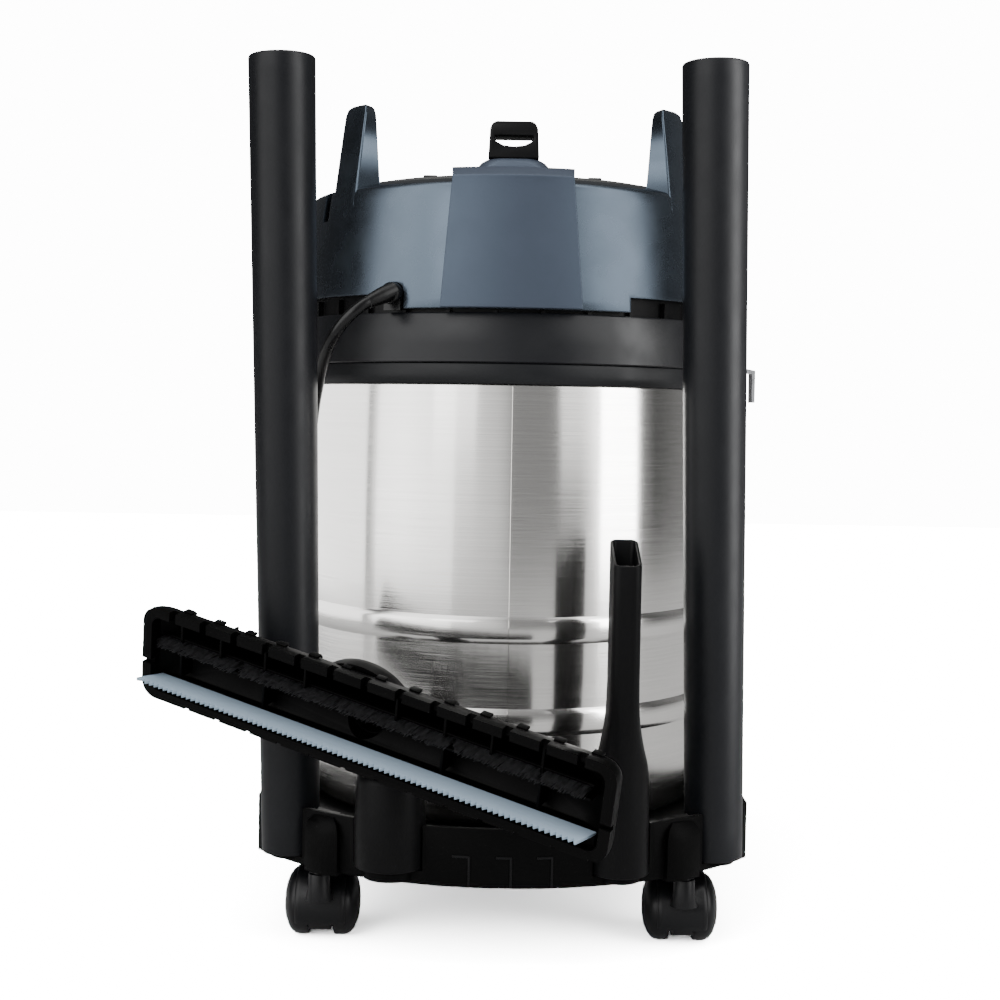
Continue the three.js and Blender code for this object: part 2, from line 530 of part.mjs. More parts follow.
// ---- Floor nozzle: neck on its peg, elbow, and the head with its brush and squeegee ----
add('nozzle_neck', moved(turned([
  [20.4, NECK.bottom + GAP], [NECK.radius, NECK.bottom + GAP], [NECK.radius - 1.3, NECK.top - 3], [20.2, NECK.top],
  [15.6, NECK.top], [15.6, NECK.top - 2.6], [19.4, NECK.top - 5],
], 24), NECK.x, NECK.y), MATERIALS.softBlack);

const nozzle = new THREE.Group();
nozzle.position.set(NOZZLE.x, NOZZLE.y, NOZZLE.z);
nozzle.rotation.set((90 + NOZZLE.pitch) * RAD, NOZZLE.tilt * RAD, NOZZLE.yaw * RAD, 'ZYX');
machine.add(nozzle);
nozzle.updateMatrix();

// A point of the nozzle's own frame, placed in the drum-axis frame.
const fromNozzle = (u, v, w) => new THREE.Vector3(u, v, w).applyMatrix4(nozzle.matrix).toArray();
const elbowPath = [
  [NECK.x, NECK.y, NECK.top + GAP], [NECK.x, NECK.y, 132], [NECK.x, NECK.y, 146], [NECK.x - 1.2, NECK.y - 2, 158],
  fromNozzle(SWIVEL.u, SWIVEL.v, SWIVEL.back - 9), fromNozzle(SWIVEL.u, SWIVEL.v, SWIVEL.back - 4),
  fromNozzle(SWIVEL.u, SWIVEL.v, SWIVEL.back - 0.8),
];
add('nozzle_elbow', tube(elbowPath, 17, 14, 10, 14.5), MATERIALS.softBlack);

const nozzleRings = (inset, stations) => stations.map(([w, halfU, halfV, corner]) => roundedRectangle(
  halfU - inset, halfV - inset, Math.max(corner - inset, 2), 3).map(([u, v]) => [u, v, w]));
const makeNozzle = () => {
  const { half, halfHeight } = NOZZLE;
  const shell = loft(nozzleRings(0, [
    [-28.4, half - 28, 15, 12], [-23, half - 13, 20.5, 12], [-15, half - 3, 28, 11], [-8, half, halfHeight - 0.4, 11],
    [0, half, halfHeight, 11],
  ]));
  const cavity = loft(nozzleRings(0, [
    [-25, half - 36, 11, 8], [-14, half - 12, 24, 8], [-7, half - 8.5, halfHeight - 3.4, 7],
    [3, half - 8.5, halfHeight - 3.2, 7],
  ]));
  const hump = moved(turned([
    [0, -28.6], [23, -28.6], [SWIVEL.hump - 1.5, -26.5], [SWIVEL.hump, -23], [SWIVEL.hump, -14], [0, -14],
  ], 28), SWIVEL.u, SWIVEL.v);
  const duct = moved(disc(SWIVEL.bore, -40, -10, 24), SWIVEL.u, SWIVEL.v);
  const ledge = block(-152, 146, -30, -18.9, -20, -6);
  const outside = union(shell, hump);
  return cut(union(cut(outside, cavity), common(ledge, shell)), duct);
};
add('nozzle_body', makeNozzle(), MATERIALS.blackPlastic, nozzle);
add('squeegee_strip', block(-150, 144, -18.6, -16.4, -13, 8), MATERIALS.squeegee, nozzle);
const brushBase = block(-122, 118, 2.5, 9, -24.6, -20);
const brushTufts = block(-134, 130, 3, 8.6, -20.4, -3);
add('brush_strip', union(brushBase, brushTufts), MATERIALS.brush, nozzle);

// ---- Cord: gland and relief, free run, coil, tie, tail and plug ----
const glandAt = new THREE.Vector3(...polar(GLAND.radius, GLAND.angle), GLAND.z);
const reliefAt = new THREE.Vector3(...polar(GLAND.radius + 4, GLAND.angle), GLAND.z);
const wallAxis = new THREE.Vector3(...polar(1, GLAND.angle), 0);
const cordAxis = new THREE.Vector3(...polar(1, GLAND.leave), -Math.tan(GLAND.drop * RAD)).normalize();
const alongCord = (distance) => reliefAt.clone().addScaledVector(cordAxis, distance).toArray();
const aimed = (geometry, axis, at) => geometry
  .applyQuaternion(new THREE.Quaternion().setFromUnitVectors(new THREE.Vector3(0, 0, 1), axis))
  .translate(...at.toArray());
const makeGland = () => {
  const collar = turned([
    [0, -4], [GLAND.ring - 1, -4], [GLAND.ring, -3], [GLAND.ring, 2.4], [GLAND.ring - 1.2, 3.8], [0, 3.8],
  ], 20);
  const relief = turned([[0, -5], [5.6, -5], [5.6, 3], [4.6, GLAND.relief], [0, GLAND.relief]], 16);
  const tab = sector(153.2, 156.6, GLAND.angle - 2.4, GLAND.angle + 2.4, 417, 426, 2);
  return union(aimed(collar, wallAxis, glandAt), aimed(relief, cordAxis, reliefAt), tab);
};
add('cord_gland', makeGland(), MATERIALS.cordBlack);

const CORD_ROUTE = [
  alongCord(GLAND.relief + 0.4), [-95.8, -147.4, 419.9], [-102.2, -149.2, 414.8], [-108.6, -148.8, 408.4],
  [-114.3, -145.6, 401.2], [-119.2, -139, 393.6], [-123.2, -130.2, 385.6], [-126.8, -120.4, 376.6],
  [-129.8, -112, 366], [-132.6, -105.4, 354], [-136, -101, 326], [-138, -99.8, 285], [-138.2, -99.4, 230],
  [-138, -98.6, 170], [-138, -95, 136], [-138.6, -86, 110], [-141.4, -72, 93], [-146.4, -54, 84.8],
  [-152.6, -34, 82.2], [-156.2, 0, 82], [-153, 32, 82], [-142.6, 64, 82], [-126, 94, 82.4], [-104, 122, 85],
  [-84, 150, 90.4], [-69, 178, 96.2], [-60.4, 201, 97.2],
  [-55.6, 219, 89], [-52, 232.4, 70], [-50.2, 240, 49], [-49.5, 246, 31], [-49.8, 253, 19.4], [-50.8, 263, 10.4],
  [-52.8, 277, 5.4], [-55, 288, 4.4], [-58.8, 301, 4.4],
];
add('cord', tube(CORD_ROUTE, CORD.radius, 8, 56), MATERIALS.cordBlack);

const { coilX, coilY, coilMid, coilHalf, coilBottom, coilTop } = CORD;
add('cord_coil', moved(turned([
  [coilMid - coilHalf, coilBottom + 3], [coilMid - coilHalf + 3, coilBottom], [coilMid + coilHalf - 3, coilBottom],
  [coilMid + coilHalf, coilBottom + 3], [coilMid + coilHalf, coilTop - 4], [coilMid + coilHalf - 4, coilTop],
  [coilMid - coilHalf + 4, coilTop], [coilMid - coilHalf, coilTop - 4],
], 26), coilX, coilY), MATERIALS.cordBlack);
const tieBlock = block(coilMid - coilHalf - 2.4, coilMid + coilHalf + 1.4, -6, 6, 0.1, coilTop + 1.3);
const tieRoom = block(coilMid - coilHalf - 1.5, coilMid + coilHalf + 0.5, -8, 8, coilBottom - 0.4, coilTop + 0.3);
add('cord_tie', moved(cut(tieBlock, tieRoom), coilX, coilY), MATERIALS.rubber);

const tailX = coilX + coilMid + coilHalf + CORD.radius + 2.2;
const tailAt = coilY - 16;
const tailRoute = [[tailX, tailAt, 4.4], [tailX + 1, tailAt - 14, 5.4], [tailX + 1.5, tailAt - 30, 9.6]];
add('cord_tail', tube(tailRoute, CORD.radius, 8, 8), MATERIALS.cordBlack);
const plugRing = (y, halfX, halfZ, corner) => roundedRectangle(halfX, halfZ, corner, 3).map(([x, z]) => [x, z, y]);
const plugBody = loft([
  plugRing(0, 5, 5, 4.9), plugRing(20, 6, 6, 5.8), plugRing(23, 11, 9.4, 6), plugRing(48, 13.5, 10.6, 5),
  plugRing(53, 12.5, 9.6, 4),
]);
const prongs = [-1, 1].map((side) => block(side * 6.4 - 0.8, side * 6.4 + 0.8, -3.2, 3.2, 50, 70));
const plugGeometry = union(plugBody, ...prongs).rotateX(Math.PI / 2).translate(tailX + 1.5, tailAt - 30 - GAP - 1.2, 10.9);
add('plug', plugGeometry, MATERIALS.cordBlack);

export default machine;
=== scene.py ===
"""Shop vacuum seen from behind: a brushed steel drum on a castered dolly, with its tools and cord stored.

Lengths are in millimetres from the drum's axis and the floor; at() turns them into the frame's metres.
Angles around the drum are in degrees from the rear (-Y), positive towards +X.
"""
import math
import random

import bmesh
import bpy
from mathutils import Matrix, Vector


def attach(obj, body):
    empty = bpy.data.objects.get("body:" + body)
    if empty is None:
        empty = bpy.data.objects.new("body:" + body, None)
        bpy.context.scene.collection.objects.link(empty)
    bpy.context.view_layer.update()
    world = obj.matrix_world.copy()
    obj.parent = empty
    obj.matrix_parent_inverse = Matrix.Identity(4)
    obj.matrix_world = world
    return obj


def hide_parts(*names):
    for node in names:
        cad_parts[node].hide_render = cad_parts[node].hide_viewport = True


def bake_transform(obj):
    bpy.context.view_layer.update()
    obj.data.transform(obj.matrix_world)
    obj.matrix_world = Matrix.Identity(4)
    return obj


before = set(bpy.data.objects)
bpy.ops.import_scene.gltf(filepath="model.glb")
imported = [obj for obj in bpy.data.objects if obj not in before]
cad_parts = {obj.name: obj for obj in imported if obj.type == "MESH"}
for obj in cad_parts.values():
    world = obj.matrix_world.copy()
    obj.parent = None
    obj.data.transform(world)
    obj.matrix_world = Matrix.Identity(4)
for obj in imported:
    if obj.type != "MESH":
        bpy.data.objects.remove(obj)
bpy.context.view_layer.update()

# ---- Driving dimensions, the same as the CAD model's ----
AXIS = Vector((27.0, 54.5, 0.0))
MM = 0.001
DOLLY = dict(radius=208, half_width=165, bottom=53, top=90.5, deck=75.2, deck_radius=151, wall=3.5)
CASTER = dict(x=119.5, y=162, trail=25, wheel=22.3, hood=24.4, hood_top=46.8)
WHEEL = dict(inner=8, tread=16.5, outer=25)
DRUM = dict(radius=149, wall=1.4, bottom=75.5, top=368.9, beads=(146.5, 207.5))
BAND = dict(inner=143, outer=151, bottom=369.3, top=382.7)
COLLAR = dict(radius=152, bottom=383.1, top=415.8, plate=404)
COVER = dict(bottom=418.1, notch=427.9, shoulder=500.4, wall=3.2, seat=502.4, seat_radius=131.5)
CAP = dict(radius=130.9, bottom=502.8, top=512)
NOTCH = (30.7, 332.7)
PANEL = dict(bottom=418.4, top=504.5, bevel_top=511, half_bottom=46.8, half_top=40, proud=4.8)
LOOP = dict(half=17, bottom=519.4, top=544, y=-111, depth=22)
HANDLE = dict(half=61, y=6, z=521, reach=84, bar=4.7)
# Up a carrying horn: height, the bearings of its outer edge, ridge and back edge, radius and thickness.
HORN = [
    (478, 57.8, 46.7, 46.2, 149.07, 9),
    (490, 57.6, 46.6, 43.6, 147.98, 13),
    (500, 57.3, 46.6, 42.1, 146.5, 13),
    (545, 55.0, 45.0, 45.6, 142.9, 12.5),
    (552, 54.6, 44.8, 46.1, 142.2, 12),
    (556, 53.8, 45.0, 46.6, 141.6, 11),
    (558, 51.6, 45.8, 47.4, 140.4, 8.5),
]
INLET = dict(z=300, bore=26, tube=30, flange=42, end=199)
WAND = dict(x=140.7, y=-143.2, bottom=57.9, length=521.1, lean=1.19, foot=19.2, head=21.8, wall=2.4)
CREVICE = dict(x=74.6, y=-190, bottom=59.6, tip_far=271, tip_near=257)
NECK = dict(x=-71.8, y=-190, bottom=61.8, top=121, radius=23)
NOZZLE = dict(x=-86.9, y=-242.1, z=160.1, half=167, half_height=31.8)
NOZZLE_TURN = dict(pitch=102.89, tilt=12.01, yaw=-25.72)
SWIVEL = dict(u=-11, v=-4.4, back=-29, hump=31, bore=14.5)
GLAND = dict(angle=-30.2, radius=157, z=428, ring=7.2, leave=-60, drop=25, relief=14)
CORD = dict(radius=4, length=5.0, coil_x=10, coil_y=318, mid=48, half=17, top=33, tail_x=81.2, tail_y=302)
# Where the tools stand: x, y, the socket's radius and floor, and the peg's radius and top.
TOOL_SPOTS = [
    (-WAND["x"], WAND["y"], 20.8, WAND["bottom"], 13.5, 112),
    (WAND["x"], WAND["y"], 20.8, WAND["bottom"], 13.5, 112),
    (NECK["x"], NECK["y"], 24.4, NECK["bottom"], 17, 108),
    (CREVICE["x"], CREVICE["y"], 20.2, CREVICE["bottom"], 13, 106),
]
# The casters' names, with their sides in X and in Y.
CASTERS = [("rear_left", -1, -1), ("rear_right", 1, -1), ("front_left", -1, 1), ("front_right", 1, 1)]
# The facets of a body as wide as the drum, and the bores of the handle's and the wheels' pins.
ROUND = 144
HANDLE_BORE = 3.3
AXLE_BORE = 3.2


def rgb(red, green, blue):
    """A display colour, 0 to 255, as linear light."""
    def linear(value):
        share = value / 255
        return share / 12.92 if share <= 0.04045 else ((share + 0.055) / 1.055) ** 2.4
    return (linear(red), linear(green), linear(blue), 1.0)


def at(x, y, z):
    return Vector(((x + AXIS.x) * MM, (y + AXIS.y) * MM, z * MM))


def polar(radius, degrees):
    angle = math.radians(degrees)
    return radius * math.sin(angle), -radius * math.cos(angle)


# ---- Camera ----
def make_camera():
    data = bpy.data.cameras.new("camera")
    data.lens = 57.64
    data.sensor_width = 36
    camera = bpy.data.objects.new("camera", data)
    bpy.context.scene.collection.objects.link(camera)
    pitch = Matrix.Rotation(math.radians(90 - 3.213), 4, "X")
    roll = Matrix.Rotation(math.radians(0.964), 4, "Z")
    camera.matrix_world = Matrix.Translation((0.0217, -1.1413, 0.3524)) @ pitch @ roll
    bpy.context.scene.camera = camera


make_camera()


# ---- Materials ----
class Nodes:
    """A small helper that adds and links shader nodes."""

    def __init__(self, name):
        self.material = bpy.data.materials.new(name)
        self.material.use_nodes = True
        self.tree = self.material.node_tree
        self.shader = self.tree.nodes["Principled BSDF"]
        self.place = self.add("ShaderNodeTexCoord").outputs["Object"]

    def add(self, kind, **settings):
        node = self.tree.nodes.new(kind)
        for key, value in settings.items():
            setattr(node, key, value)
        return node

    def link(self, source, target):
        self.tree.links.new(source, target)

    def stretched(self, scale):
        mapping = self.add("ShaderNodeMapping")
        mapping.inputs["Scale"].default_value = scale
        self.link(self.place, mapping.inputs["Vector"])
        return mapping.outputs["Vector"]

    def noise(self, scale, detail=3.0, place=None):
        node = self.add("ShaderNodeTexNoise")
        node.inputs["Scale"].default_value = scale
        node.inputs["Detail"].default_value = detail
        self.link(place or self.place, node.inputs["Vector"])
        return node.outputs["Fac"]

    def spread(self, value, low, high):
        node = self.add("ShaderNodeMapRange")
        node.inputs["From Min"].default_value = 0.3
        node.inputs["From Max"].default_value = 0.7
        node.inputs["To Min"].default_value = low
        node.inputs["To Max"].default_value = high
        self.link(value, node.inputs["Value"])
        return node.outputs["Result"]

    def blend(self, value, first, second):
        node = self.add("ShaderNodeMix", data_type="RGBA")
        node.inputs["A"].default_value = first
        node.inputs["B"].default_value = second
        self.link(self.spread(value, 0, 1), node.inputs["Factor"])
        return node.outputs["Result"]

    def bump(self, height, strength, distance):
        node = self.add("ShaderNodeBump")
        node.inputs["Strength"].default_value = strength
        node.inputs["Distance"].default_value = distance
        self.link(height, node.inputs["Height"])
        self.link(node.outputs["Normal"], self.shader.inputs["Normal"])


def shade(colour, factor):
    return tuple(channel * factor for channel in colour[:3]) + (1.0,)


def plastic(name, colour, roughness, grain=1400, grain_depth=0.00006, mottle=0.12, specular=0.5,
            gloss=(1, 1, 1, 1), ior=1.5):
    nodes = Nodes(name)
    broad = nodes.noise(9, 4)
    nodes.link(nodes.blend(broad, shade(colour, 1 - mottle), shade(colour, 1 + mottle)),
               nodes.shader.inputs["Base Color"])
    nodes.link(nodes.spread(nodes.noise(45, 3), roughness - 0.04, roughness + 0.05),
               nodes.shader.inputs["Roughness"])
    nodes.shader.inputs["Specular IOR Level"].default_value = specular
    nodes.shader.inputs["Specular Tint"].default_value = gloss
    nodes.shader.inputs["IOR"].default_value = ior
    nodes.bump(nodes.noise(grain, 2), 0.35, grain_depth)
    return nodes.material


def brushed(name, colour, roughness, along, depth=0.00003, streak=0.16, spread=0.0):
    """Metal with fine scratches: `along` scales the noise on each axis, small where scratches run.

    `spread` draws the highlights out across scratches that run around the drum."""
    nodes = Nodes(name)
    if spread:
        turning = nodes.add("ShaderNodeTangent", direction_type="RADIAL", axis="Z")
        nodes.link(turning.outputs["Tangent"], nodes.shader.inputs["Tangent"])
        nodes.shader.inputs["Anisotropic"].default_value = spread
        nodes.shader.inputs["Anisotropic Rotation"].default_value = 0.25
    scratches = nodes.noise(1, 5, nodes.stretched(along))
    fine = nodes.noise(3.1, 3, nodes.stretched(along))
    nodes.link(nodes.blend(scratches, shade(colour, 1 - streak), shade(colour, 1 + streak * 0.5)),
               nodes.shader.inputs["Base Color"])
    nodes.link(nodes.spread(fine, roughness - 0.06, roughness + 0.08), nodes.shader.inputs["Roughness"])
    nodes.shader.inputs["Metallic"].default_value = 1.0
    nodes.bump(scratches, 0.25, depth)
    return nodes.material


def bristled(name, colour):
    nodes = Nodes(name)
    nodes.link(nodes.blend(nodes.noise(420, 4), shade(colour, 0.45), shade(colour, 1.5)),
               nodes.shader.inputs["Base Color"])
    nodes.shader.inputs["Roughness"].default_value = 0.8
    nodes.bump(nodes.noise(900, 3), 0.6, 0.0003)
    return nodes.material


def papery(name, colour):
    nodes = Nodes(name)
    nodes.link(nodes.blend(nodes.noise(260, 5), shade(colour, 0.86), shade(colour, 1.04)),
               nodes.shader.inputs["Base Color"])
    nodes.shader.inputs["Roughness"].default_value = 0.95
    nodes.bump(nodes.noise(1800, 4), 0.5, 0.0002)
    return nodes.material


STEEL = brushed("drum_steel", (0.66, 0.65, 0.63, 1), 0.17, (7, 7, 1500), depth=0.000002, streak=0.08,
                spread=0.85)
ZINC = brushed("zinc", (0.62, 0.63, 0.65, 1), 0.3, (400, 60, 60))
BLACK = plastic("black_plastic", rgb(11, 11, 12), 0.4, specular=0.14)
DEEP_BLACK = plastic("skirt_plastic", rgb(3, 3, 3), 0.5, specular=0.06)
BAND_PLASTIC = plastic("band_plastic", rgb(20, 21, 23), 0.4, specular=0.2)
TOOL = plastic("tool_plastic", rgb(16, 17, 20), 0.4, grain=2200, grain_depth=0.00008, specular=0.2)
DARK_TOOL = plastic("dark_tool_plastic", rgb(9, 9, 10), 0.42, grain=2200, grain_depth=0.00008, specular=0.1)
COLLAR_PLASTIC = plastic("collar_plastic", rgb(18, 19, 22), 0.34, grain=1800, specular=0.3)
BLUE_GLOSS = (0.62, 0.79, 1.0, 1)
COVER_PLASTIC = plastic("cover_plastic", rgb(13, 14, 16), 0.27, grain=2600, grain_depth=0.000004,
                        mottle=0.03, specular=1.0, gloss=BLUE_GLOSS, ior=1.62)
PANEL_PLASTIC = plastic("panel_plastic", rgb(53, 59, 70), 0.4, grain=2600, grain_depth=0.000008,
                        mottle=0.03, specular=0.6, gloss=BLUE_GLOSS)
CAP_PLASTIC = plastic("cap_plastic", rgb(76, 77, 76), 0.4, grain=2600, grain_depth=0.00001,
                      mottle=0.03, specular=0.2)
WHEEL_PLASTIC = plastic("wheel_plastic", rgb(12, 12, 14), 0.34, specular=0.25)
CORD_JACKET = plastic("cord_jacket", rgb(5, 5, 6), 0.28, grain=900, grain_depth=0.00001, specular=0.3)
RUBBER = plastic("soft_rubber", rgb(10, 10, 10), 0.75, specular=0.2)
SQUEEGEE = plastic("squeegee_strip", rgb(150, 168, 184), 0.35, mottle=0.05, specular=0.3)
MOTOR = plastic("motor_paint", rgb(60, 62, 66), 0.4)
BRISTLE = bristled("brush_bristle", rgb(44, 44, 46))
FILTER = papery("filter_paper", rgb(226, 222, 208))
BRASS = brushed("plug_brass", (0.72, 0.58, 0.3, 1), 0.3, (60, 400, 60))


# ---- Shapes, as (vertices, faces) ----
def around(count):
    return [360 * i / count for i in range(count)]


def lathe(profile, angles=96, offset=None):
    """Turns [radius, height] pairs about the drum's axis. offset(angle) is added to each radius."""
    steps = around(angles) if isinstance(angles, int) else angles
    verts = []
    for angle in steps:
        out = offset(angle) if offset else 0
        for radius, height in profile:
            verts.append((*polar(radius + out if radius > 0 else 0, angle), height))
    count = len(profile)
    closed = profile[0][0] > 0 or profile[-1][0] > 0
    rows = count if closed else count - 1
    faces = []
    for i in range(len(steps)):
        a = i * count
        b = (i + 1) % len(steps) * count
        for row in range(rows):
            following = (row + 1) % count
            faces.append((a + row, b + row, b + following, a + following))
    return verts, faces


def loft(rings):
    """A capped body through rings that have the same number of points."""
    count = len(rings[0])
    verts = [point for ring in rings for point in ring]
    faces = [tuple(reversed(range(count))), tuple(range(len(verts) - count, len(verts)))]
    for level in range(len(rings) - 1):
        for i in range(count):
            a = level * count + i
            b = level * count + (i + 1) % count
            faces.append((a, b, b + count, a + count))
    return verts, faces


def flat(outline, z):
    """An outline of (x, y) points as a level ring."""
    return [(x, y, z) for x, y in outline]


def upright(outline, y):
    """An outline of (x, z) points as a ring that faces the rear."""
    return [(x, y, z) for x, z in outline]


def prism(outline, low, high):
    return loft([flat(outline, low), flat(outline, high)])


def rod(radius, low, high, sides=24):
    """A plain round bar that stands on the drum's axis."""
    return lathe([(0, low), (radius, low), (radius, high), (0, high)], sides)


def block(x, y, z):
    """A box from (low, high) pairs."""
    return prism([(x[0], y[0]), (x[1], y[0]), (x[1], y[1]), (x[0], y[1])], *z)


def rounded(half_x, half_y, radius, steps=6, x=0, y=0):
    points = []
    for sx, sy, start in ((1, 1, 0), (-1, 1, 90), (-1, -1, 180), (1, -1, 270)):
        for i in range(steps + 1):
            angle = math.radians(start + 90 * i / steps)
            points.append((x + sx * (half_x - radius) + radius * math.cos(angle),
                           y + sy * (half_y - radius) + radius * math.sin(angle)))
    return points


def arc(radius, start, end, steps):
    return [polar(radius, start + (end - start) * i / steps) for i in range(steps + 1)]


def sector(inner, outer, start, end, low, high, steps=8):
    return prism(arc(outer, start, end, steps) + arc(inner, end, start, steps), low, high)


def moved(shape, matrix):
    verts, faces = shape
    return [tuple(matrix @ Vector(v)) for v in verts], faces


def shifted(shape, x=0, y=0, z=0):
    return moved(shape, Matrix.Translation((x, y, z)))


def joined(*shapes):
    verts, faces = [], []
    for shape_verts, shape_faces in shapes:
        start = len(verts)
        verts += shape_verts
        faces += [tuple(i + start for i in face) for face in shape_faces]
    return verts, faces


ALONG_X = Matrix.Rotation(math.radians(90), 4, "Y")
ALONG_Y = Matrix.Rotation(math.radians(-90), 4, "X")


def smooth_route(points, steps):
    """A centripetal Catmull-Rom curve through the points, `steps` to a span."""
    knots = [Vector(p) for p in points]
    knots = [2 * knots[0] - knots[1]] + knots + [2 * knots[-1] - knots[-2]]
    route = []
    for i in range(1, len(knots) - 2):
        p0, p1, p2, p3 = knots[i - 1:i + 3]
        t1 = (p1 - p0).length ** 0.5
        t2 = t1 + (p2 - p1).length ** 0.5
        t3 = t2 + (p3 - p2).length ** 0.5
        for step in range(steps):
            t = t1 + (t2 - t1) * step / steps
            a1 = p0 * (t1 - t) / t1 + p1 * t / t1
            a2 = p1 * (t2 - t) / (t2 - t1) + p2 * (t - t1) / (t2 - t1)
            a3 = p2 * (t3 - t) / (t3 - t2) + p3 * (t - t2) / (t3 - t2)
            b1 = a1 * (t2 - t) / t2 + a2 * t / t2
            b2 = a2 * (t3 - t) / (t3 - t1) + a3 * (t - t1) / (t3 - t1)
            route.append(b1 * (t2 - t) / (t2 - t1) + b2 * (t - t1) / (t2 - t1))
    route.append(knots[-2])
    return route


def tube(route, radius, sides=20):
    """A round bar along a list of points, or one whose radius changes from point to point."""
    radii = radius if isinstance(radius, list) else [radius] * len(route)
    points = [Vector(p) for p in route]
    heading = (points[1] - points[0]).normalized()
    side = heading.orthogonal().normalized()
    rings = []
    for i, point in enumerate(points):
        ahead = (points[min(i + 1, len(points) - 1)] - points[max(i - 1, 0)]).normalized()
        side = (side - ahead * side.dot(ahead)).normalized()
        other = ahead.cross(side)
        rings.append([tuple(point + radii[i] * (math.cos(t) * side + math.sin(t) * other))
                      for t in (2 * math.pi * k / sides for k in range(sides))])
    return loft(rings)


# ---- Objects ----
def solid(name, shape):
    verts, faces = shape
    mesh = bpy.data.meshes.new(name)
    mesh.from_pydata([at(*v) for v in verts], [], faces)
    work = bmesh.new()
    work.from_mesh(mesh)
    bmesh.ops.remove_doubles(work, verts=work.verts, dist=1e-6)
    bmesh.ops.recalc_face_normals(work, faces=work.faces)
    work.to_mesh(mesh)
    work.free()
    piece = bpy.data.objects.new(name, mesh)
    bpy.context.scene.collection.objects.link(piece)
    return piece


def settle(piece):
    """Turns a piece's modifiers into its mesh."""
    graph = bpy.context.evaluated_depsgraph_get()
    mesh = bpy.data.meshes.new_from_object(piece.evaluated_get(graph))
    piece.modifiers.clear()
    piece.data = mesh
    return piece


def combined(piece, operation, shapes):
    """Cuts with or adds each shape in turn. One that is already an object is used up."""
    for shape in shapes:
        tool = shape if isinstance(shape, bpy.types.Object) else solid("tool", shape)
        modifier = piece.modifiers.new("combine", "BOOLEAN")
        modifier.operation = operation
        modifier.solver = "EXACT"
        modifier.object = tool
        settle(piece)
        bpy.data.objects.remove(tool)
    return piece


def cut(piece, *shapes):
    return combined(piece, "DIFFERENCE", shapes)


def grown(piece, *shapes):
    return combined(piece, "UNION", shapes)


def softened(piece, width, segments=2, angle=35):
    """Rounds the edges that are sharper than the angle."""
    modifier = piece.modifiers.new("edge", "BEVEL")
    modifier.width = width * MM
    modifier.segments = segments
    modifier.limit_method = "ANGLE"
    modifier.angle_limit = math.radians(angle)
    modifier.use_clamp_overlap = True
    return settle(piece)


def dressed(piece, body, material, nodes=(), angle=38):
    """Gives a piece its finish, its body and the nodes that it stands for."""
    piece.data.materials.clear()
    piece.data.materials.append(material)
    piece.data.polygons.foreach_set("use_smooth", [True] * len(piece.data.polygons))
    piece.data.set_sharp_from_angle(angle=math.radians(angle))
    piece.data.update()
    if body:
        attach(piece, body)
    if nodes:
        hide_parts(*nodes)
    return piece


# ---- Cord ----
# Down behind the left wand, around the drum on the deck, over the front skirt and down to the coil.
CORD_ROUTE = [
    (-95.8, -147.4, 419.9), (-102.2, -149.2, 414.8), (-108.6, -148.8, 408.4), (-114.3, -145.6, 401.2),
    (-119.2, -139, 393.6), (-123.2, -130.2, 385.6), (-126.8, -120.4, 376.6), (-129.8, -112, 366),
    (-132.6, -105.4, 354), (-136, -101, 326), (-138, -99.8, 285), (-138.2, -99.4, 230),
    (-138, -98.6, 170), (-138, -95, 136), (-138.6, -86, 110), (-141.4, -72, 93), (-146.4, -54, 84.8),
    (-152.6, -34, 82.2), (-156.2, 0, 82), (-153, 32, 82), (-142.6, 64, 82), (-126, 94, 82.4),
    (-104, 122, 85), (-84, 150, 90.4), (-69, 178, 96.2), (-60.4, 201, 97.2), (-55.6, 219, 89),
    (-52, 232.4, 70), (-50.2, 240, 49), (-49.5, 246, 31), (-49.8, 253, 19.4), (-50.8, 263, 10.4),
    (-52.8, 277, 5.4), (-55, 288, 4.4),
]


def cord_start():
    """Where the cord leaves its relief, and the way it heads there."""
    relief = Vector((*polar(GLAND["radius"] + 4, GLAND["angle"]), GLAND["z"]))
    heading = Vector((*polar(1, GLAND["leave"]), -math.tan(math.radians(GLAND["drop"])))).normalized()
    return relief, heading


def coil_route():
    """Turns wound in layers of four and three, each turn lying in the grooves of the layer below."""
    pitch = 2 * CORD["radius"] + 0.25
    wide = [CORD["mid"] + k * pitch for k in (1.5, 0.5, -0.5, -1.5)]
    narrow = [CORD["mid"] + k * pitch for k in (-1, 0, 1)]
    floor = CORD["radius"] + 0.4
    turns = [(radius, floor + layer * 2.01 * CORD["radius"])
             for layer in range(4) for radius in (narrow if layer % 2 else wide)]
    centre = Vector((CORD["coil_x"], CORD["coil_y"]))
    first = Vector((-58.8, 301)) - centre
    last = Vector((CORD["tail_x"], CORD["tail_y"])) - centre
    start = math.degrees(math.atan2(first.y, first.x))
    sweep = 360 * (len(turns) - 1) + (start - math.degrees(math.atan2(last.y, last.x))) % 360
    points = []
    for gone in range(0, int(sweep) + 1, 9):
        turn = int(gone / 360)
        radius, height = turns[turn]
        if turn + 1 < len(turns):
            drift = eased((gone / 360 - turn - 0.7) / 0.3)
            radius += (turns[turn + 1][0] - radius) * drift
            height += (turns[turn + 1][1] - height) * drift
        radius += (first.length - radius) * (1 - eased(gone / 110))
        leaving = eased((gone - sweep + 170) / 170)
        radius += (last.length - radius) * eased(leaving * 2.2)
        height += (floor - height) * leaving
        angle = math.radians(start - gone)
        x, y = centre.x + radius * math.cos(angle), centre.y + radius * math.sin(angle)
        points.append(Vector((x, y, height)))
    return points


def eased(share):
    share = min(1.0, max(0.0, share))
    return share * share * (3 - 2 * share)


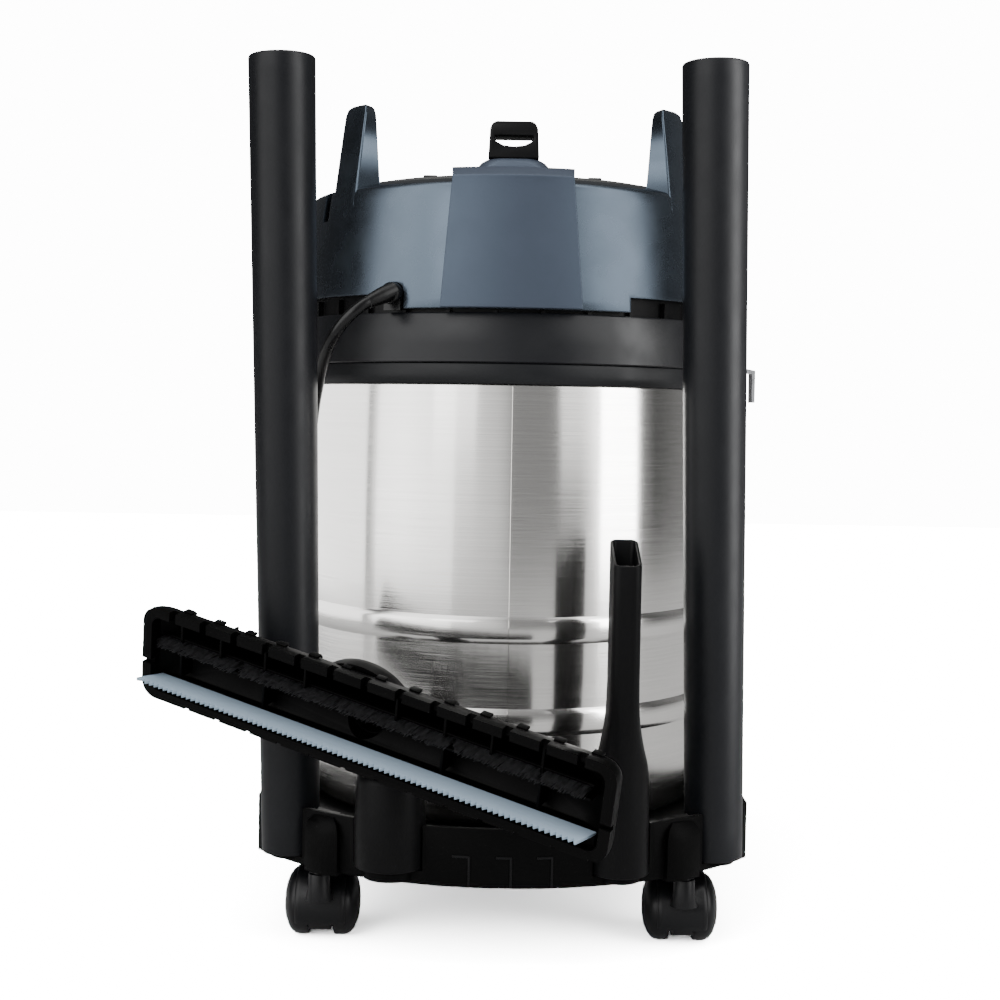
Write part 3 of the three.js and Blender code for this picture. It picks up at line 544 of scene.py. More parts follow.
def make_cord():
    relief, heading = cord_start()
    begin = relief + heading * (GLAND["relief"] + 0.4)
    free = smooth_route([begin] + CORD_ROUTE, 6)
    tail = [Vector((CORD["tail_x"], CORD["tail_y"] - 2, CORD["radius"] + 0.5)),
            Vector((CORD["tail_x"] + 1, CORD["tail_y"] - 14, 5.6)),
            Vector((CORD["tail_x"] + 1.5, CORD["tail_y"] - 30, 9.6))]
    route = free + coil_route() + smooth_route(tail, 6)
    cord = dressed(solid("power_cord", tube(route, CORD["radius"], 12)), None, CORD_JACKET,
                   ("cord", "cord_coil", "cord_tail"), angle=80)
    return cord, begin, route


def make_plug():
    """A two-pin plug with a ribbed grip, its pins forward of the cord's end."""
    def ring(y, half_x, half_z, corner):
        return upright(rounded(half_x, half_z, corner, 5), y)
    sleeve = [(0, 4.9, 4.9, 4.8)]
    for k in range(5):
        swell = 0.15 * k
        sleeve += [(2 + 4 * k, 5.2 + swell, 5.2 + swell, 4.9), (4.6 + 4 * k, 6.3, 6.3, 6),
                   (5.4 + 4 * k, 5 + swell, 5 + swell, 4.8)]
    body = [(24, 9, 8, 5.6), (27, 11.6, 9.6, 6), (38, 13, 10.4, 5.6), (48, 13.4, 10.6, 5),
            (53, 12.4, 9.6, 4)]
    shell = loft([ring(*station) for station in sleeve + body])
    lift = Vector((CORD["tail_x"] + 1.5, CORD["tail_y"] - 31.5, 10.9))
    facing = Matrix.Translation(lift) @ Matrix.Rotation(math.pi, 4, "Z")
    plug = softened(solid("plug_body", moved(shell, facing)), 0.5)
    dressed(plug, "root", CORD_JACKET, ("plug",))
    blade = loft([ring(y, half, 3.2, 0.7) for y, half in ((50, 0.8), (68, 0.8), (70, 0.4))])
    pins = solid("plug_pins", moved(joined(shifted(blade, x=-6.4), shifted(blade, x=6.4)), facing))
    dressed(pins, "root", BRASS)
    return plug, pins


def make_tie():
    """A strap around one side of the coil."""
    half_height = (CORD["top"] + 1.4) / 2
    loop = rounded(CORD["half"] + 0.6, half_height, 5, 5)

    def band(*stations):
        rings = [upright([(x * grow, z * grow) for x, z in loop], y) for y, grow in stations]
        return shifted(loft(rings), CORD["coil_x"] + CORD["mid"], CORD["coil_y"], half_height + 0.8)
    strap = solid("cord_strap", band((-6, 1.0), (-5.2, 1.035), (5.2, 1.035), (6, 1.0)))
    dressed(cut(strap, band((-8, 0.97), (8, 0.97))), "root", RUBBER, ("cord_tie",))


cord, cord_exit, cord_path = make_cord()
plug_pieces = make_plug()
make_tie()
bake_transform(cord)


def make_gland():
    """The round grommet in the cover, and the tapered relief that the cord comes out of."""
    relief, heading = cord_start()
    wall = Vector((*polar(1, GLAND["angle"]), 0))
    centre = Vector((*polar(GLAND["radius"], GLAND["angle"]), GLAND["z"]))
    ring = [(0, -4), (6.2, -4), (7.2, -3), (7.3, 1.8), (6.9, 3), (6.2, 3.6), (0, 3.8)]
    cone = [(0, -5), (5.7, -5), (5.7, 3), (5.5, 6), (5.1, 9.4), (4.7, 12.8), (4.35, 15.2), (4.2, 16),
            (0, 16)]

    def aimed(profile, axis, point):
        turn = axis.to_track_quat("Z", "Y").to_matrix().to_4x4()
        return moved(lathe(profile, 40), Matrix.Translation(point) @ turn)
    under = sector(153.2, 156.6, GLAND["angle"] - 2.4, GLAND["angle"] + 2.4, 417, 426, 4)
    parts = joined(aimed(ring, wall, centre), aimed(cone, heading, relief), under)
    dressed(solid("cord_relief", parts), "head", CORD_JACKET, ("cord_gland",))


make_gland()


# ---- Dolly ----
def dolly_outline(radius, half_width, steps=48):
    corner = math.degrees(math.asin(half_width / radius))
    return arc(radius, -corner, corner, steps) + arc(radius, 180 - corner, 180 + corner, steps)


def disc(x, y, radius, low, high, count=48):
    return shifted(rod(radius, low, high, count), x, y)


def boss_outline(side, end):
    points = [(side * x, -end * y) for x, y in
              ((99, -168), (106, -183.5), (116.5, -180.8), (128.5, -169.5), (127, -150))]
    return points if side * end < 0 else points[::-1]


def make_boss(side, end):
    """The caster's housing on the skirt, a folded ridge whose top slopes back to the deck."""
    outline = boss_outline(side, end)
    rings = []
    for height, shrink in ((DOLLY["bottom"] - 1.2, 0), (78, 0), (84.6, 0.12), (88.8, 0.42)):
        rings.append(flat([(x + (side * 114 - x) * shrink, y + (-end * -158 - y) * shrink * 0.5)
                           for x, y in outline], height))
    return loft(rings)


def make_dolly():
    bottom, top, radius = DOLLY["bottom"], DOLLY["top"], DOLLY["radius"]
    half, wall, deck = DOLLY["half_width"], DOLLY["wall"], DOLLY["deck"]
    dolly = solid("dolly", prism(dolly_outline(radius, half), bottom, top))
    dish = solid("dish", lathe([(0, deck), (DOLLY["deck_radius"], deck), (176, deck + 4.5),
                                (radius - 4.2, top - 3), (radius - 2.5, top + 9), (0, top + 9)], 128))
    room = block((-half + wall, half - wall), (-radius, radius), (deck - 1, top + 20))
    cut(dolly, combined(dish, "INTERSECT", [room]))
    corners = [(side, end) for side in (-1, 1) for end in (-1, 1)]
    grown(dolly, *[make_boss(side, end) for side, end in corners])
    cut(dolly, disc(0, 0, 160, bottom - 1, bottom + 17, 96),
        *[disc(x, y, socket, floor - 0.3, 115) for x, y, socket, floor, *_ in TOOL_SPOTS],
        *[disc(side * CASTER["x"], end * CASTER["y"], 5, bottom - 3, bottom + 21, 24)
          for side, end in corners])
    softened(dolly, 0.7)
    dressed(dolly, "root", DEEP_BLACK, ("base_dolly",))


def make_pegs():
    low = DOLLY["bottom"] + 2
    for number, (x, y, _, _, peg, peg_top) in enumerate(TOOL_SPOTS):
        profile = [(0, low), (peg, low), (peg, peg_top - 4), (peg - 1, peg_top - 1.2), (peg - 3, peg_top),
                   (0, peg_top)]
        post = solid(f"tool_peg_{number}", shifted(lathe(profile, 40), x, y))
        dressed(post, "root", DEEP_BLACK)


def make_skirt_marks():
    """Three raised marks on the rear skirt: a short bar with a line down its right end."""
    marks = []
    radius = DOLLY["radius"]
    for left, right in ((-31.6, -20.3), (-4, 6), (21.7, 31.7)):
        start, end = (math.degrees(math.asin(x / radius)) for x in (left, right))
        marks.append(sector(radius - 0.6, radius + 0.7, start, end, 71.8, 73.2, 6))
        marks.append(sector(radius - 0.6, radius + 0.7, end - 0.35, end, 53.4, 72.4, 2))
    dressed(softened(solid("skirt_marks", joined(*marks)), 0.25), "root", BLACK)


make_dolly()
make_pegs()
make_skirt_marks()


# ---- Casters ----
def sideways(outline, low, high):
    """An outline of (y, z) points made into a body that runs along X."""
    return loft([[(x, y, z) for y, z in outline] for x in (low, high)])


def caster_arc(radius, start, end, steps=18):
    """Points (y, z) on a circle about the wheels' axle."""
    angles = [math.radians(start + (end - start) * i / steps) for i in range(steps + 1)]
    return [(CASTER["trail"] + radius * math.cos(angle), CASTER["wheel"] + radius * math.sin(angle))
            for angle in angles]


def make_hood():
    """The hood over a caster's wheels, with the web between them and the stem, on the drum's axis."""
    clear = CASTER["wheel"] + 0.6
    half = WHEEL["tread"]
    web_half = WHEEL["inner"] - 0.6
    top = CASTER["hood_top"]
    crown = [caster_arc(CASTER["hood"] - drop, 20, 205) + caster_arc(clear - 0.2, 205, 20)
             for drop in (1.5, 0.5, 0, 0, 0.5, 1.5)]
    widths = (-half, -half + 1, -half + 3, half - 3, half - 1, half)
    shield = loft([[(x, y, z) for y, z in outline] for x, outline in zip(widths, crown)])
    web_floor = math.degrees(math.asin((8 - CASTER["wheel"]) / (clear + 1)))
    web = sideways(caster_arc(clear + 1, web_floor, 180 - web_floor, 30), -web_half, web_half)
    neck = lathe([(0, 30), (9, 30), (7.4, 38), (7, top + 1), (0, top + 1.5)], 32)
    stem = lathe([(0, 40), (4.6, 40), (4.6, 71), (0, 72)], 24)
    hood = grown(solid("caster_hood", shield), web, neck, stem)
    cut(hood, shifted(moved(rod(AXLE_BORE, -20, 20), ALONG_X), 0, CASTER["trail"], CASTER["wheel"]))
    return softened(hood, 0.5).data


def make_wheel(side):
    radius = CASTER["wheel"]
    inner, tread, outer = WHEEL["inner"], WHEEL["tread"], WHEEL["outer"]
    profile = [(AXLE_BORE, inner), (radius - 1.2, inner), (radius - 0.3, inner + 0.4),
               (radius, inner + 1.4), (radius, 15.2), (radius - 0.5, 17.4), (radius - 2, 19.6),
               (radius - 5, 21.8), (radius - 10, 23.8), (radius - 13, 24.4), (5, outer - 0.1), (0, outer),
               (0, tread), (AXLE_BORE, tread)]
    wheel = moved(lathe(profile, 64), ALONG_X)
    if side < 0:
        wheel = moved(wheel, Matrix.Scale(-1, 4, (1, 0, 0)))
    return shifted(wheel, 0, CASTER["trail"], radius)


def make_casters():
    hood_mesh = make_hood()
    for place, side, end in CASTERS:
        x, y = side * CASTER["x"], end * CASTER["y"]
        mesh = hood_mesh.copy()
        mesh.transform(Matrix.Translation((x * MM, y * MM, 0)))
        hood = bpy.data.objects.new(f"hood_{place}", mesh)
        bpy.context.scene.collection.objects.link(hood)
        dressed(hood, f"caster_{place}", WHEEL_PLASTIC, (f"caster_{place}_hood",))
        for letter, wheel_side in (("a", -1), ("b", 1)):
            wheel = solid(f"wheel_{place}_{letter}", shifted(make_wheel(wheel_side), x, y))
            dressed(wheel, f"wheels_{place}", WHEEL_PLASTIC,
                    (f"caster_{place}_wheel_{letter}",))
    bpy.data.objects.remove(bpy.data.objects["caster_hood"])


make_casters()


# ---- Drum, band and hose inlet ----
# The bearing of the drum's seam.
SEAM = 0.75


def seam_step(angle):
    """The drum's lap seam: one edge stands a little over the other and fades out around the drum."""
    past = (angle - SEAM) % 360
    return 0.55 * max(0.0, 1 - past / 14) if past < 14 else 0.0


def drum_angles():
    return sorted(set(around(ROUND)) | {SEAM - 0.12, SEAM, SEAM + 0.4})


def bead_profile(middle):
    radius = DRUM["radius"]
    return [(radius, middle - 9), (radius + 0.5, middle - 8.2), (radius + 1.5, middle - 6.6),
            (radius + 2, middle - 5), (radius + 2, middle + 5), (radius + 1.5, middle + 6.6),
            (radius + 0.5, middle + 8.2), (radius, middle + 9)]


def make_drum():
    radius, bottom, top, wall = (DRUM[key] for key in ("radius", "bottom", "top", "wall"))
    profile = [(0, bottom + 1.5), (118, bottom + 1.5), (122, bottom), (140, bottom), (143, bottom + 1.6),
               (146.4, bottom + 5.2), (148.4, bottom + 11), (radius, bottom + 18)]
    for middle in DRUM["beads"]:
        profile += bead_profile(middle)
    profile += [(radius, top - 1.2), (radius - 0.4, top), (radius - 1.1, top), (radius - wall, top - 1.2),
                (radius - wall, bottom + 18), (145, bottom + 5.4), (140, bottom + wall),
                (0, bottom + wall + 1.5)]
    drum = solid("steel_drum", lathe(profile, drum_angles(), seam_step))
    cut(drum, shifted(moved(rod(INLET["tube"] + 0.3, 100, 170, 48), ALONG_Y), z=INLET["z"]))
    dressed(drum, "root", STEEL, ("drum",), angle=25)


def make_band():
    inner, outer, bottom, top = (BAND[key] for key in ("inner", "outer", "bottom", "top"))
    profile = [(inner, bottom), (outer - 0.6, bottom), (outer, bottom + 0.8), (outer, bottom + 6),
               (outer, top - 1.4), (outer - 0.5, top - 0.3), (outer - 1.2, top), (inner, top)]
    band = solid("rim_band", lathe(profile, ROUND))
    dressed(band, "root", BAND_PLASTIC, ("drum_band",))


def make_inlet():
    """The hose socket on the front of the drum, with a keyway, and its four screws."""
    bore, reach, flange, end = (INLET[key] for key in ("bore", "tube", "flange", "end"))

    def facing_front(profile, sides):
        return shifted(moved(lathe(profile, sides), ALONG_Y), z=INLET["z"])
    plate = [(0, 120), (flange, 120), (flange, 154.5), (flange - 2.4, 157), (0, 157)]
    pipe = [(0, 126), (reach, 126), (reach, 158), (reach + 1.6, 160), (reach, 164), (reach, 186),
            (reach + 3, 190), (reach + 3, end - 1.4), (reach + 1.6, end), (0, end)]
    room = [(0, 100), (bore, 100), (bore, end - 2), (bore + 2, end + 1), (0, end + 1)]
    inlet = solid("hose_socket", facing_front(plate, 72))
    cut(inlet, disc(0, 0, DRUM["radius"] + 0.3, 220, 380, ROUND))
    grown(inlet, facing_front(pipe, 72))
    cut(inlet, facing_front(room, 64), shifted(block((-3, 3), (180, 220), (24, 40)), z=INLET["z"]))
    softened(inlet, 0.5)
    dressed(inlet, "root", BLACK, ("hose_inlet",))
    head = [(0, 156.8), (3.4, 156.8), (3.4, 158.4), (2.6, 159.3), (1.2, 159.3), (1.2, 158.2), (0, 158.2)]
    screws = []
    for k in range(4):
        angle = math.radians(45 + 90 * k)
        screws.append(shifted(facing_front(head, 24), 36 * math.cos(angle), 0, 36 * math.sin(angle)))
    dressed(solid("inlet_screws", joined(*screws)), "root", ZINC)


make_drum()
make_band()
make_inlet()


# ---- Motor head ----
def cover_radius(z):
    """The cover's side draws in towards its shoulder."""
    share = (z - COVER["bottom"]) / (COVER["shoulder"] - COVER["bottom"])
    return 155 - 4.6 * share - 4 * share * share


def between(low, high, count):
    return [low + (high - low) * i / (count - 1) for i in range(count)]


def stepped(rows, step):
    """The rows of a table with more put in between, about `step` apart in their first column."""
    steps = [rows[0]]
    for start, end in zip(rows, rows[1:]):
        count = max(1, round((end[0] - start[0]) / step))
        steps += [[a + (b - a) * i / count for a, b in zip(start, end)] for i in range(1, count + 1)]
    return steps


def make_collar():
    radius, bottom, top, plate = (COLLAR[key] for key in ("radius", "bottom", "top", "plate"))
    profile = [(33, plate - 4), (137, plate - 4), (137, 373), (141.5, 373), (141.5, 386), (149.3, 386),
               (149.3, bottom), (radius - 1.2, bottom), (radius - 0.4, bottom + 0.8),
               (radius - 0.5, bottom + 12), (radius - 0.6, top - 1.2), (radius - 1.4, top), (149, top),
               (149, 390), (141.5, 390), (141.5, plate), (33, plate)]
    collar = solid("collar", lathe(profile, ROUND))
    dressed(collar, "head", COLLAR_PLASTIC, ("head_collar",))


def make_grille():
    """The ring of upright ribs that the exhaust leaves through, behind the gap over the collar."""
    ring = lathe([(143.6, 390.3), (147, 390.3), (147, 433), (143.6, 433)], ROUND)
    ribs = [sector(146.6, 150.6, angle - 0.5, angle + 0.5, 391, 426 if 31 < angle < 332 else 417.4, 2)
            for angle in range(8, 360, 12)]
    grille = solid("exhaust_grille", joined(ring, *ribs))
    dressed(grille, "head", BLACK, ("exhaust_ring",))


def cover_profile():
    bottom, shoulder, wall, seat = (COVER[key] for key in ("bottom", "shoulder", "wall", "seat"))
    seat_radius = COVER["seat_radius"]
    edge = cover_radius(shoulder)
    outer = [(cover_radius(z), z) for z in between(bottom + 0.6, shoulder - 2.4, 14)]
    inner = [(cover_radius(z) - wall, z) for z in between(482, bottom, 6)]
    under = [(0, 499), (130, 499), (cover_radius(495) - 4, 494)]
    rim = [(edge - 0.4, shoulder - 0.6), (edge - 1.6, shoulder + 0.7), (edge - 3.4, shoulder + 1.5),
           (seat_radius + 3, 504.6), (seat_radius + 0.9, 505.2), (seat_radius, 504.6), (seat_radius, seat),
           (0, seat)]
    return under + inner + [(cover_radius(bottom) - 0.8, bottom)] + outer + rim


def horn(side):
    """A carrying horn: its outer face carries on from the wall, and its inner face is a turned facet."""
    rings = []
    for z, outer, ridge, back, radius, thick in stepped(HORN, 4):
        section = arc(radius, outer, ridge, 5) + arc(radius - thick, back, outer - 0.3, 5)
        rings.append([(side * x, y, z) for x, y in section])
    return loft(rings)


def make_cover():
    cover = solid("cover", lathe(cover_profile(), ROUND))
    notch = sector(140, 172, *NOTCH, 405, COVER["notch"], 60)
    slots = [sector(138, 162, side * 60.6 - 1.8, side * 60.6 + 1.8, 481, 520, 3) for side in (-1, 1)]
    wall = Vector((*polar(1, GLAND["angle"]), 0)).to_track_quat("Z", "Y").to_matrix().to_4x4()
    gland_at = Matrix.Translation((*polar(152, GLAND["angle"]), GLAND["z"]))
    cut(cover, notch, *slots, moved(rod(GLAND["ring"] + 0.5, -12, 12, 32), gland_at @ wall))
    softened(cover, 0.8, 2, 50)
    dressed(cover, "head", COVER_PLASTIC, ("head_cover",), angle=30)
    for place, side in (("left", -1), ("right", 1)):
        spike = softened(solid(f"horn_{place}", horn(side)), 1.2, 3, 28)
        dressed(spike, "head", COVER_PLASTIC, angle=11)


def make_panel():
    bottom, top, proud = PANEL["bottom"], PANEL["top"], PANEL["proud"]

    def section(z, outer, inner, spread):
        return flat(arc(outer, -spread, spread, 16) + arc(inner, spread, -spread, 16), z)
    rings = []
    for z in [bottom, bottom + 1] + between(430, 498, 8) + [top - 1, top]:
        share = (z - bottom) / (top - bottom)
        half = PANEL["half_bottom"] + (PANEL["half_top"] - PANEL["half_bottom"]) * share
        wall = cover_radius(min(z, COVER["shoulder"]))
        inner = wall + 0.2 if z < 490 else 146.8
        rings.append(section(z, wall + proud, inner, math.degrees(math.asin(half / (wall + proud)))))
    bevel_spread = math.degrees(math.asin(PANEL["half_top"] / 141))
    rings.append(section(PANEL["bevel_top"], 142.5, 133, bevel_spread))
    panel = softened(solid("panel", loft(rings)), 0.9, 3, 30)
    dressed(panel, "head", PANEL_PLASTIC, ("rear_panel",), angle=10)


def make_loop_pad():
    """The swelling of the panel that carries the rear loop."""
    stations = ((27, 22, 505.5), (26.4, 21.6, 509), (24.6, 20, 513), (21.4, 17.6, 517), (18.6, 16, 518.8),
                (17, 15, 519.1))
    pad = loft([flat(rounded(half, depth, 12, 8, 0, -108), z) for half, depth, z in stations])
    dressed(softened(solid("loop_pad", pad), 0.7), "head", PANEL_PLASTIC)


def make_cap():
    """The low dome on top, with the two posts that the handle's rod passes through."""
    radius, top = CAP["radius"], CAP["top"]
    dome = lathe([(0, CAP["bottom"]), (radius, CAP["bottom"]), (radius, 504.6), (radius - 0.6, 505.7),
                  (124, 507.8), (115, 509.7), (106, 510.9), (97, 511.7), (90, top), (0, top)], ROUND)
    narrowing = ((508, 0), (519, 0), (522, 1.4), (524, 3.6), (524.4, 5.6))
    posts = [loft([flat(rounded(5, 8 - drop, 2, 4, side * 49, HANDLE["y"]), z) for z, drop in narrowing])
             for side in (-1, 1)]
    cap = grown(solid("cap", dome), *posts)
    cut(cap, shifted(moved(rod(HANDLE_BORE, -70, 70), ALONG_X), 0, HANDLE["y"], HANDLE["z"]))
    softened(cap, 0.7, 2, 40)
    dressed(cap, "head", CAP_PLASTIC, ("top_cap",), angle=25)


def make_loop():
    half, bottom, top, y = (LOOP[key] for key in ("half", "bottom", "top", "y"))
    reach = LOOP["depth"] / 2
    outline = [(-half, bottom), (half, bottom), (half - 1, top - 5), (half - 2.4, top - 1.6),
               (half - 5, top), (-half + 5, top), (-half + 2.4, top - 1.6), (-half + 1, top - 5)]
    hole = [(-12.8, top - 9.5), (-13.3, top - 11.5), (-11.4, 530.4), (-7, 528.2), (0, 527.4), (7, 528.2),
            (11.4, 530.4), (13.3, top - 11.5), (12.8, top - 9.5)]
    loop = solid("loop", loft([upright(outline, y - reach), upright(outline, y + reach)]))
    cut(loop, loft([upright(hole, y - reach - 5), upright(hole, y + reach + 5)]))
    softened(loop, 1.1, 3, 30)
    dressed(loop, "head", BLACK, ("rear_loop",))


def make_handle():
    """A bail folded down over the cap, with a ribbed grip and an eye at each end."""
    half, y, z, bar = (HANDLE[key] for key in ("half", "y", "z", "bar"))
    far = y + HANDLE["reach"]
    corner = 22
    side = [(half, y + 2, z), (half, y + 20, z), (half, far - corner, z), (half - 1.8, far - 12, z),
            (half - 6.6, far - 5, z), (half - 13, far - 1.4, z), (half - corner, far, z)]
    route = smooth_route([(-px, py, pz) for px, py, pz in side] + side[::-1], 6)
    bail = solid("handle", tube(route, bar, 24))
    grip = [(0, -36), (6.4, -36), (7.4, -35)]
    for middle in range(-32, 35, 8):
        grip += [(8, middle - 2.6), (8, middle + 2.6), (7.4, middle + 3.2), (7.4, middle + 4.6)]
    grip = [(radius, x) for radius, x in grip if x <= 35] + [(7.4, 35), (6.4, 36), (0, 36)]
    eye = moved(lathe([(0, -5), (4.6, -5), (5, -4.4), (5, 4.4), (4.6, 5), (0, 5)], 32), ALONG_X)
    grown(bail, shifted(moved(lathe(grip, 40), ALONG_X), 0, far, z),
          shifted(eye, -half, y, z), shifted(eye, half, y, z))
    cut(bail, shifted(moved(rod(HANDLE_BORE, -90, 90), ALONG_X), 0, y, z))
    dressed(bail, "carry_handle", BLACK, ("carry_handle",))


def make_switch():
    """The switch's bezel on the front of the cover, and its rocker."""
    wall = lathe([(0, 400), (cover_radius(418) + 0.2, 400)] +
                 [(cover_radius(z) + 0.2, z) for z in between(418, 500, 10)] + [(0, 510)], ROUND)
    face = rounded(24, 22, 5, 5, 0, 460)
    shell = loft([upright(face, 140), upright(face, 163), upright(rounded(21, 19, 4, 5, 0, 460), 167)])
    opening = rounded(9.4, 14, 1.4, 4, 0, 460)
    bezel = cut(solid("switch_bezel", shell), wall, loft([upright(opening, 158.4), upright(opening, 190)]))
    softened(bezel, 0.6)
    dressed(bezel, "head", BLACK, ("switch_housing",))
    outline = [(166.4, 448), (168, 452), (168.2, 454), (167.4, 457.4), (167, 460), (167.6, 463), (169, 466),
               (168.4, 469.4), (166.6, 472), (159.6, 470.6), (159.6, 449.4)]
    rocker = softened(solid("rocker", sideways(outline, -8.6, 8.6)), 0.5)
    dressed(rocker, "power_switch", RUBBER, ("power_switch",))


make_collar()
make_grille()
make_cover()
make_panel()
make_loop_pad()
make_cap()
make_loop()
make_handle()
make_switch()


# ---- Filter: a pleated cartridge under the head ----
def make_filter():
    """The paper with its pleats, its two rims and the plate that holds it on the cage."""
    points = 144
    pleats = [polar(79 if k % 2 else 88, 360 * k / points) for k in range(points)]
    inner = [polar(60.4, 360 * k / points) for k in range(points)]
    medium = cut(solid("pleated_filter", prism(pleats, 268, 387)), prism(inner, 260, 400))
    dressed(medium, "filter", FILTER, ("cartridge_filter",), angle=20)
    rims = [lathe([(60, low), (86.8, low), (88, low + 1.2), (88, low + 5), (86.8, low + 6),
                   (60, low + 6)]) for low in (262.6, 386)]
    dressed(solid("filter_rims", joined(*rims)), "filter", RUBBER)
    plate = lathe([(0, 256), (86, 256), (90, 257.6), (90, 261.7), (0, 261.7)])
    hub = lathe([(0, 246), (13.6, 246), (15, 247.6), (15, 257), (0, 257)], 40)
    retainer = grown(solid("retainer", plate), hub, block((-22, 22), (-3, 3), (244, 257)))
    softened(retainer, 0.8)
    dressed(retainer, "filter", BLACK, ("filter_retainer",))


make_filter()


# ---- Stored wands, crevice tool and nozzle neck ----
def make_wand(place, side):
    """A tapered tube that stands on its peg and leans outwards."""
    foot, head, wall, length = (WAND[key] for key in ("foot", "head", "wall", "length"))

    def outside(height):
        return foot + (head - foot) * height / length
    profile = [(foot - wall, 0.4), (foot - 1.6, 0), (foot - 0.5, 0.3), (foot, 1.4)]
    profile += [(outside(height), height) for height in between(20, length - 12, 8)]
    profile += [(outside(length), length - 1.6), (head - 0.5, length - 0.4), (head - 1.2, length),
                (head - wall + 0.4, length - 0.3), (head - wall, length - 1.4), (head - wall, length - 40)]
    lean = Matrix.Rotation(math.radians(-WAND["lean"]), 4, "Y")
    place_at = Matrix.Translation((side * WAND["x"], WAND["y"], WAND["bottom"]))
    wand = solid(f"wand_tube_{place}", moved(lathe(profile), place_at @ lean))
    dressed(wand, f"wand_{place}", TOOL, (f"wand_{place}",), angle=50)


def crevice_rings(inset):
    """A round socket that narrows to a flat blade with a slanted end."""
    rings = []
    stations = ((59.8, 18.5, 18.5, 18.4), (60.8, 18.8, 18.8, 18.7), (100, 18.3, 18.3, 18.2),
                (122, 17.8, 17.8, 17.7), (131, 16.4, 17.8, 15.6), (140, 14, 18.2, 13), (149, 12, 19, 10.2),
                (158, 10.4, 20, 8), (168, 9.5, 20.7, 6), (182, 9.1, 21, 5.2), (230, 9, 21, 5),
                (CREVICE["tip_far"], 9, 21, 5))
    for z, half_x, half_y, corner in stations:
        rings.append(flat(rounded(half_x - inset, half_y - inset, max(corner - inset, 1.2), 8,
                                  CREVICE["x"], CREVICE["y"]), z))
    slant = (CREVICE["tip_far"] - CREVICE["tip_near"]) / 42
    rings[-1] = [(x, y, z - slant * (CREVICE["y"] + 21 - y)) for x, y, z in rings[-1]]
    return rings


def make_crevice_tool():
    bore = crevice_rings(2.1)
    bore[0] = [(x, y, z - 3) for x, y, z in bore[0]]
    bore[-1] = [(x, y, z + 3) for x, y, z in bore[-1]]
    tool = softened(cut(solid("crevice_nozzle", loft(crevice_rings(0))), loft(bore)), 0.6, 2, 50)
    dressed(tool, "crevice_tool", DARK_TOOL, ("crevice_tool",), angle=40)


def make_neck():
    radius, bottom, top = NECK["radius"], NECK["bottom"] + 0.3, NECK["top"]
    profile = [(20.4, bottom + 0.4), (21.6, bottom), (radius - 0.5, bottom + 0.3), (radius, bottom + 1.2),
               (radius, bottom + 24), (radius - 1.3, top - 4), (radius - 2, top - 1), (20.2, top),
               (15.6, top), (15.6, top - 2.6), (19.4, top - 5)]
    neck = solid("neck_socket", shifted(lathe(profile), NECK["x"], NECK["y"]))
    dressed(neck, "nozzle_neck", DARK_TOOL, ("nozzle_neck",), angle=40)


for wand_place, wand_side in (("left", -1), ("right", 1)):
    make_wand(wand_place, wand_side)
make_crevice_tool()
make_neck()


# ---- Floor nozzle: its notched mouth, brush, squeegee and the swivel behind it ----
def nozzle_frame():
    """The nozzle's own axes: X along its mouth, Y up across it, Z out of it."""
    tilt = Matrix.Rotation(math.radians(NOZZLE_TURN["tilt"]), 4, "Y")
    turn = Matrix.Rotation(math.radians(NOZZLE_TURN["yaw"]), 4, "Z")
    pitch = Matrix.Rotation(math.radians(NOZZLE_TURN["pitch"]), 4, "X")
    return Matrix.Translation((NOZZLE["x"], NOZZLE["y"], NOZZLE["z"])) @ turn @ tilt @ pitch


TO_NOZZLE = nozzle_frame()
# The middles of the blocks along the mouth's upper lip.
LIP_BLOCKS = [24 * k for k in range(-6, 7)]


def nozzle_rings(stations):
    return loft([flat(rounded(half_u, half_v, corner, 6), w) for w, half_u, half_v, corner in stations])


def at_nozzle(*shapes):
    return [moved(shape, TO_NOZZLE) for shape in shapes]


def make_nozzle_body():
    half, high = NOZZLE["half"], NOZZLE["half_height"]
    shell = nozzle_rings(((-28.4, half - 30, 13.5, 11), (-27.2, half - 24, 16.2, 12),
                          (-23, half - 13, 20.5, 12), (-18, half - 6, 25.4, 12), (-13, half - 2, 29.2, 11),
                          (-8, half - 0.5, high - 0.8, 11), (-4, half, high, 11), (0, half, high, 11)))
    cavity = nozzle_rings(((-25, half - 38, 10, 8), (-20, half - 20, 17, 9), (-13, half - 10, 24.2, 8),
                           (-9, half - 7, high - 6.4, 6), (4, half - 7, high - 6.4, 6)))
    reach = SWIVEL["hump"]
    hump = moved(lathe([(0, -28.8), (20, -28.8), (25, -27.8), (28.6, -25.6), (30.4, -22.6), (reach, -18),
                        (reach, -12), (0, -12)], 72), Matrix.Scale(1.2, 4, (1, 0, 0)))
    ledge = block((-160, 156), (-27, -18.9), (-21, -6))
    duct = shifted(rod(SWIVEL["bore"], -40, -10, 40), SWIVEL["u"], SWIVEL["v"])
    gaps = []
    for middle in LIP_BLOCKS:
        gaps.append(block((middle - 2.4, middle + 2.4), (21, high + 4), (-5.5, 3)))
        gaps.append(block((middle + 12, middle + 15.5), (-high - 3, -high + 1.2), (-30, 3)))
    for side in (-1, 1):
        gaps.append(block(sorted((side * (half - 9), side * (half + 3))), (-8.4, -5.4), (-4, 3)))
    body = solid("nozzle_shell", *at_nozzle(shell))
    grown(body, *at_nozzle(shifted(hump, SWIVEL["u"], SWIVEL["v"] + 6.4)))
    cut(body, *at_nozzle(cavity))
    grown(body, *at_nozzle(ledge))
    cut(body, *at_nozzle(duct, *gaps))
    softened(body, 1.4, 3, 32)
    dressed(body, "nozzle_head", DEEP_BLACK, ("nozzle_body",), angle=40)


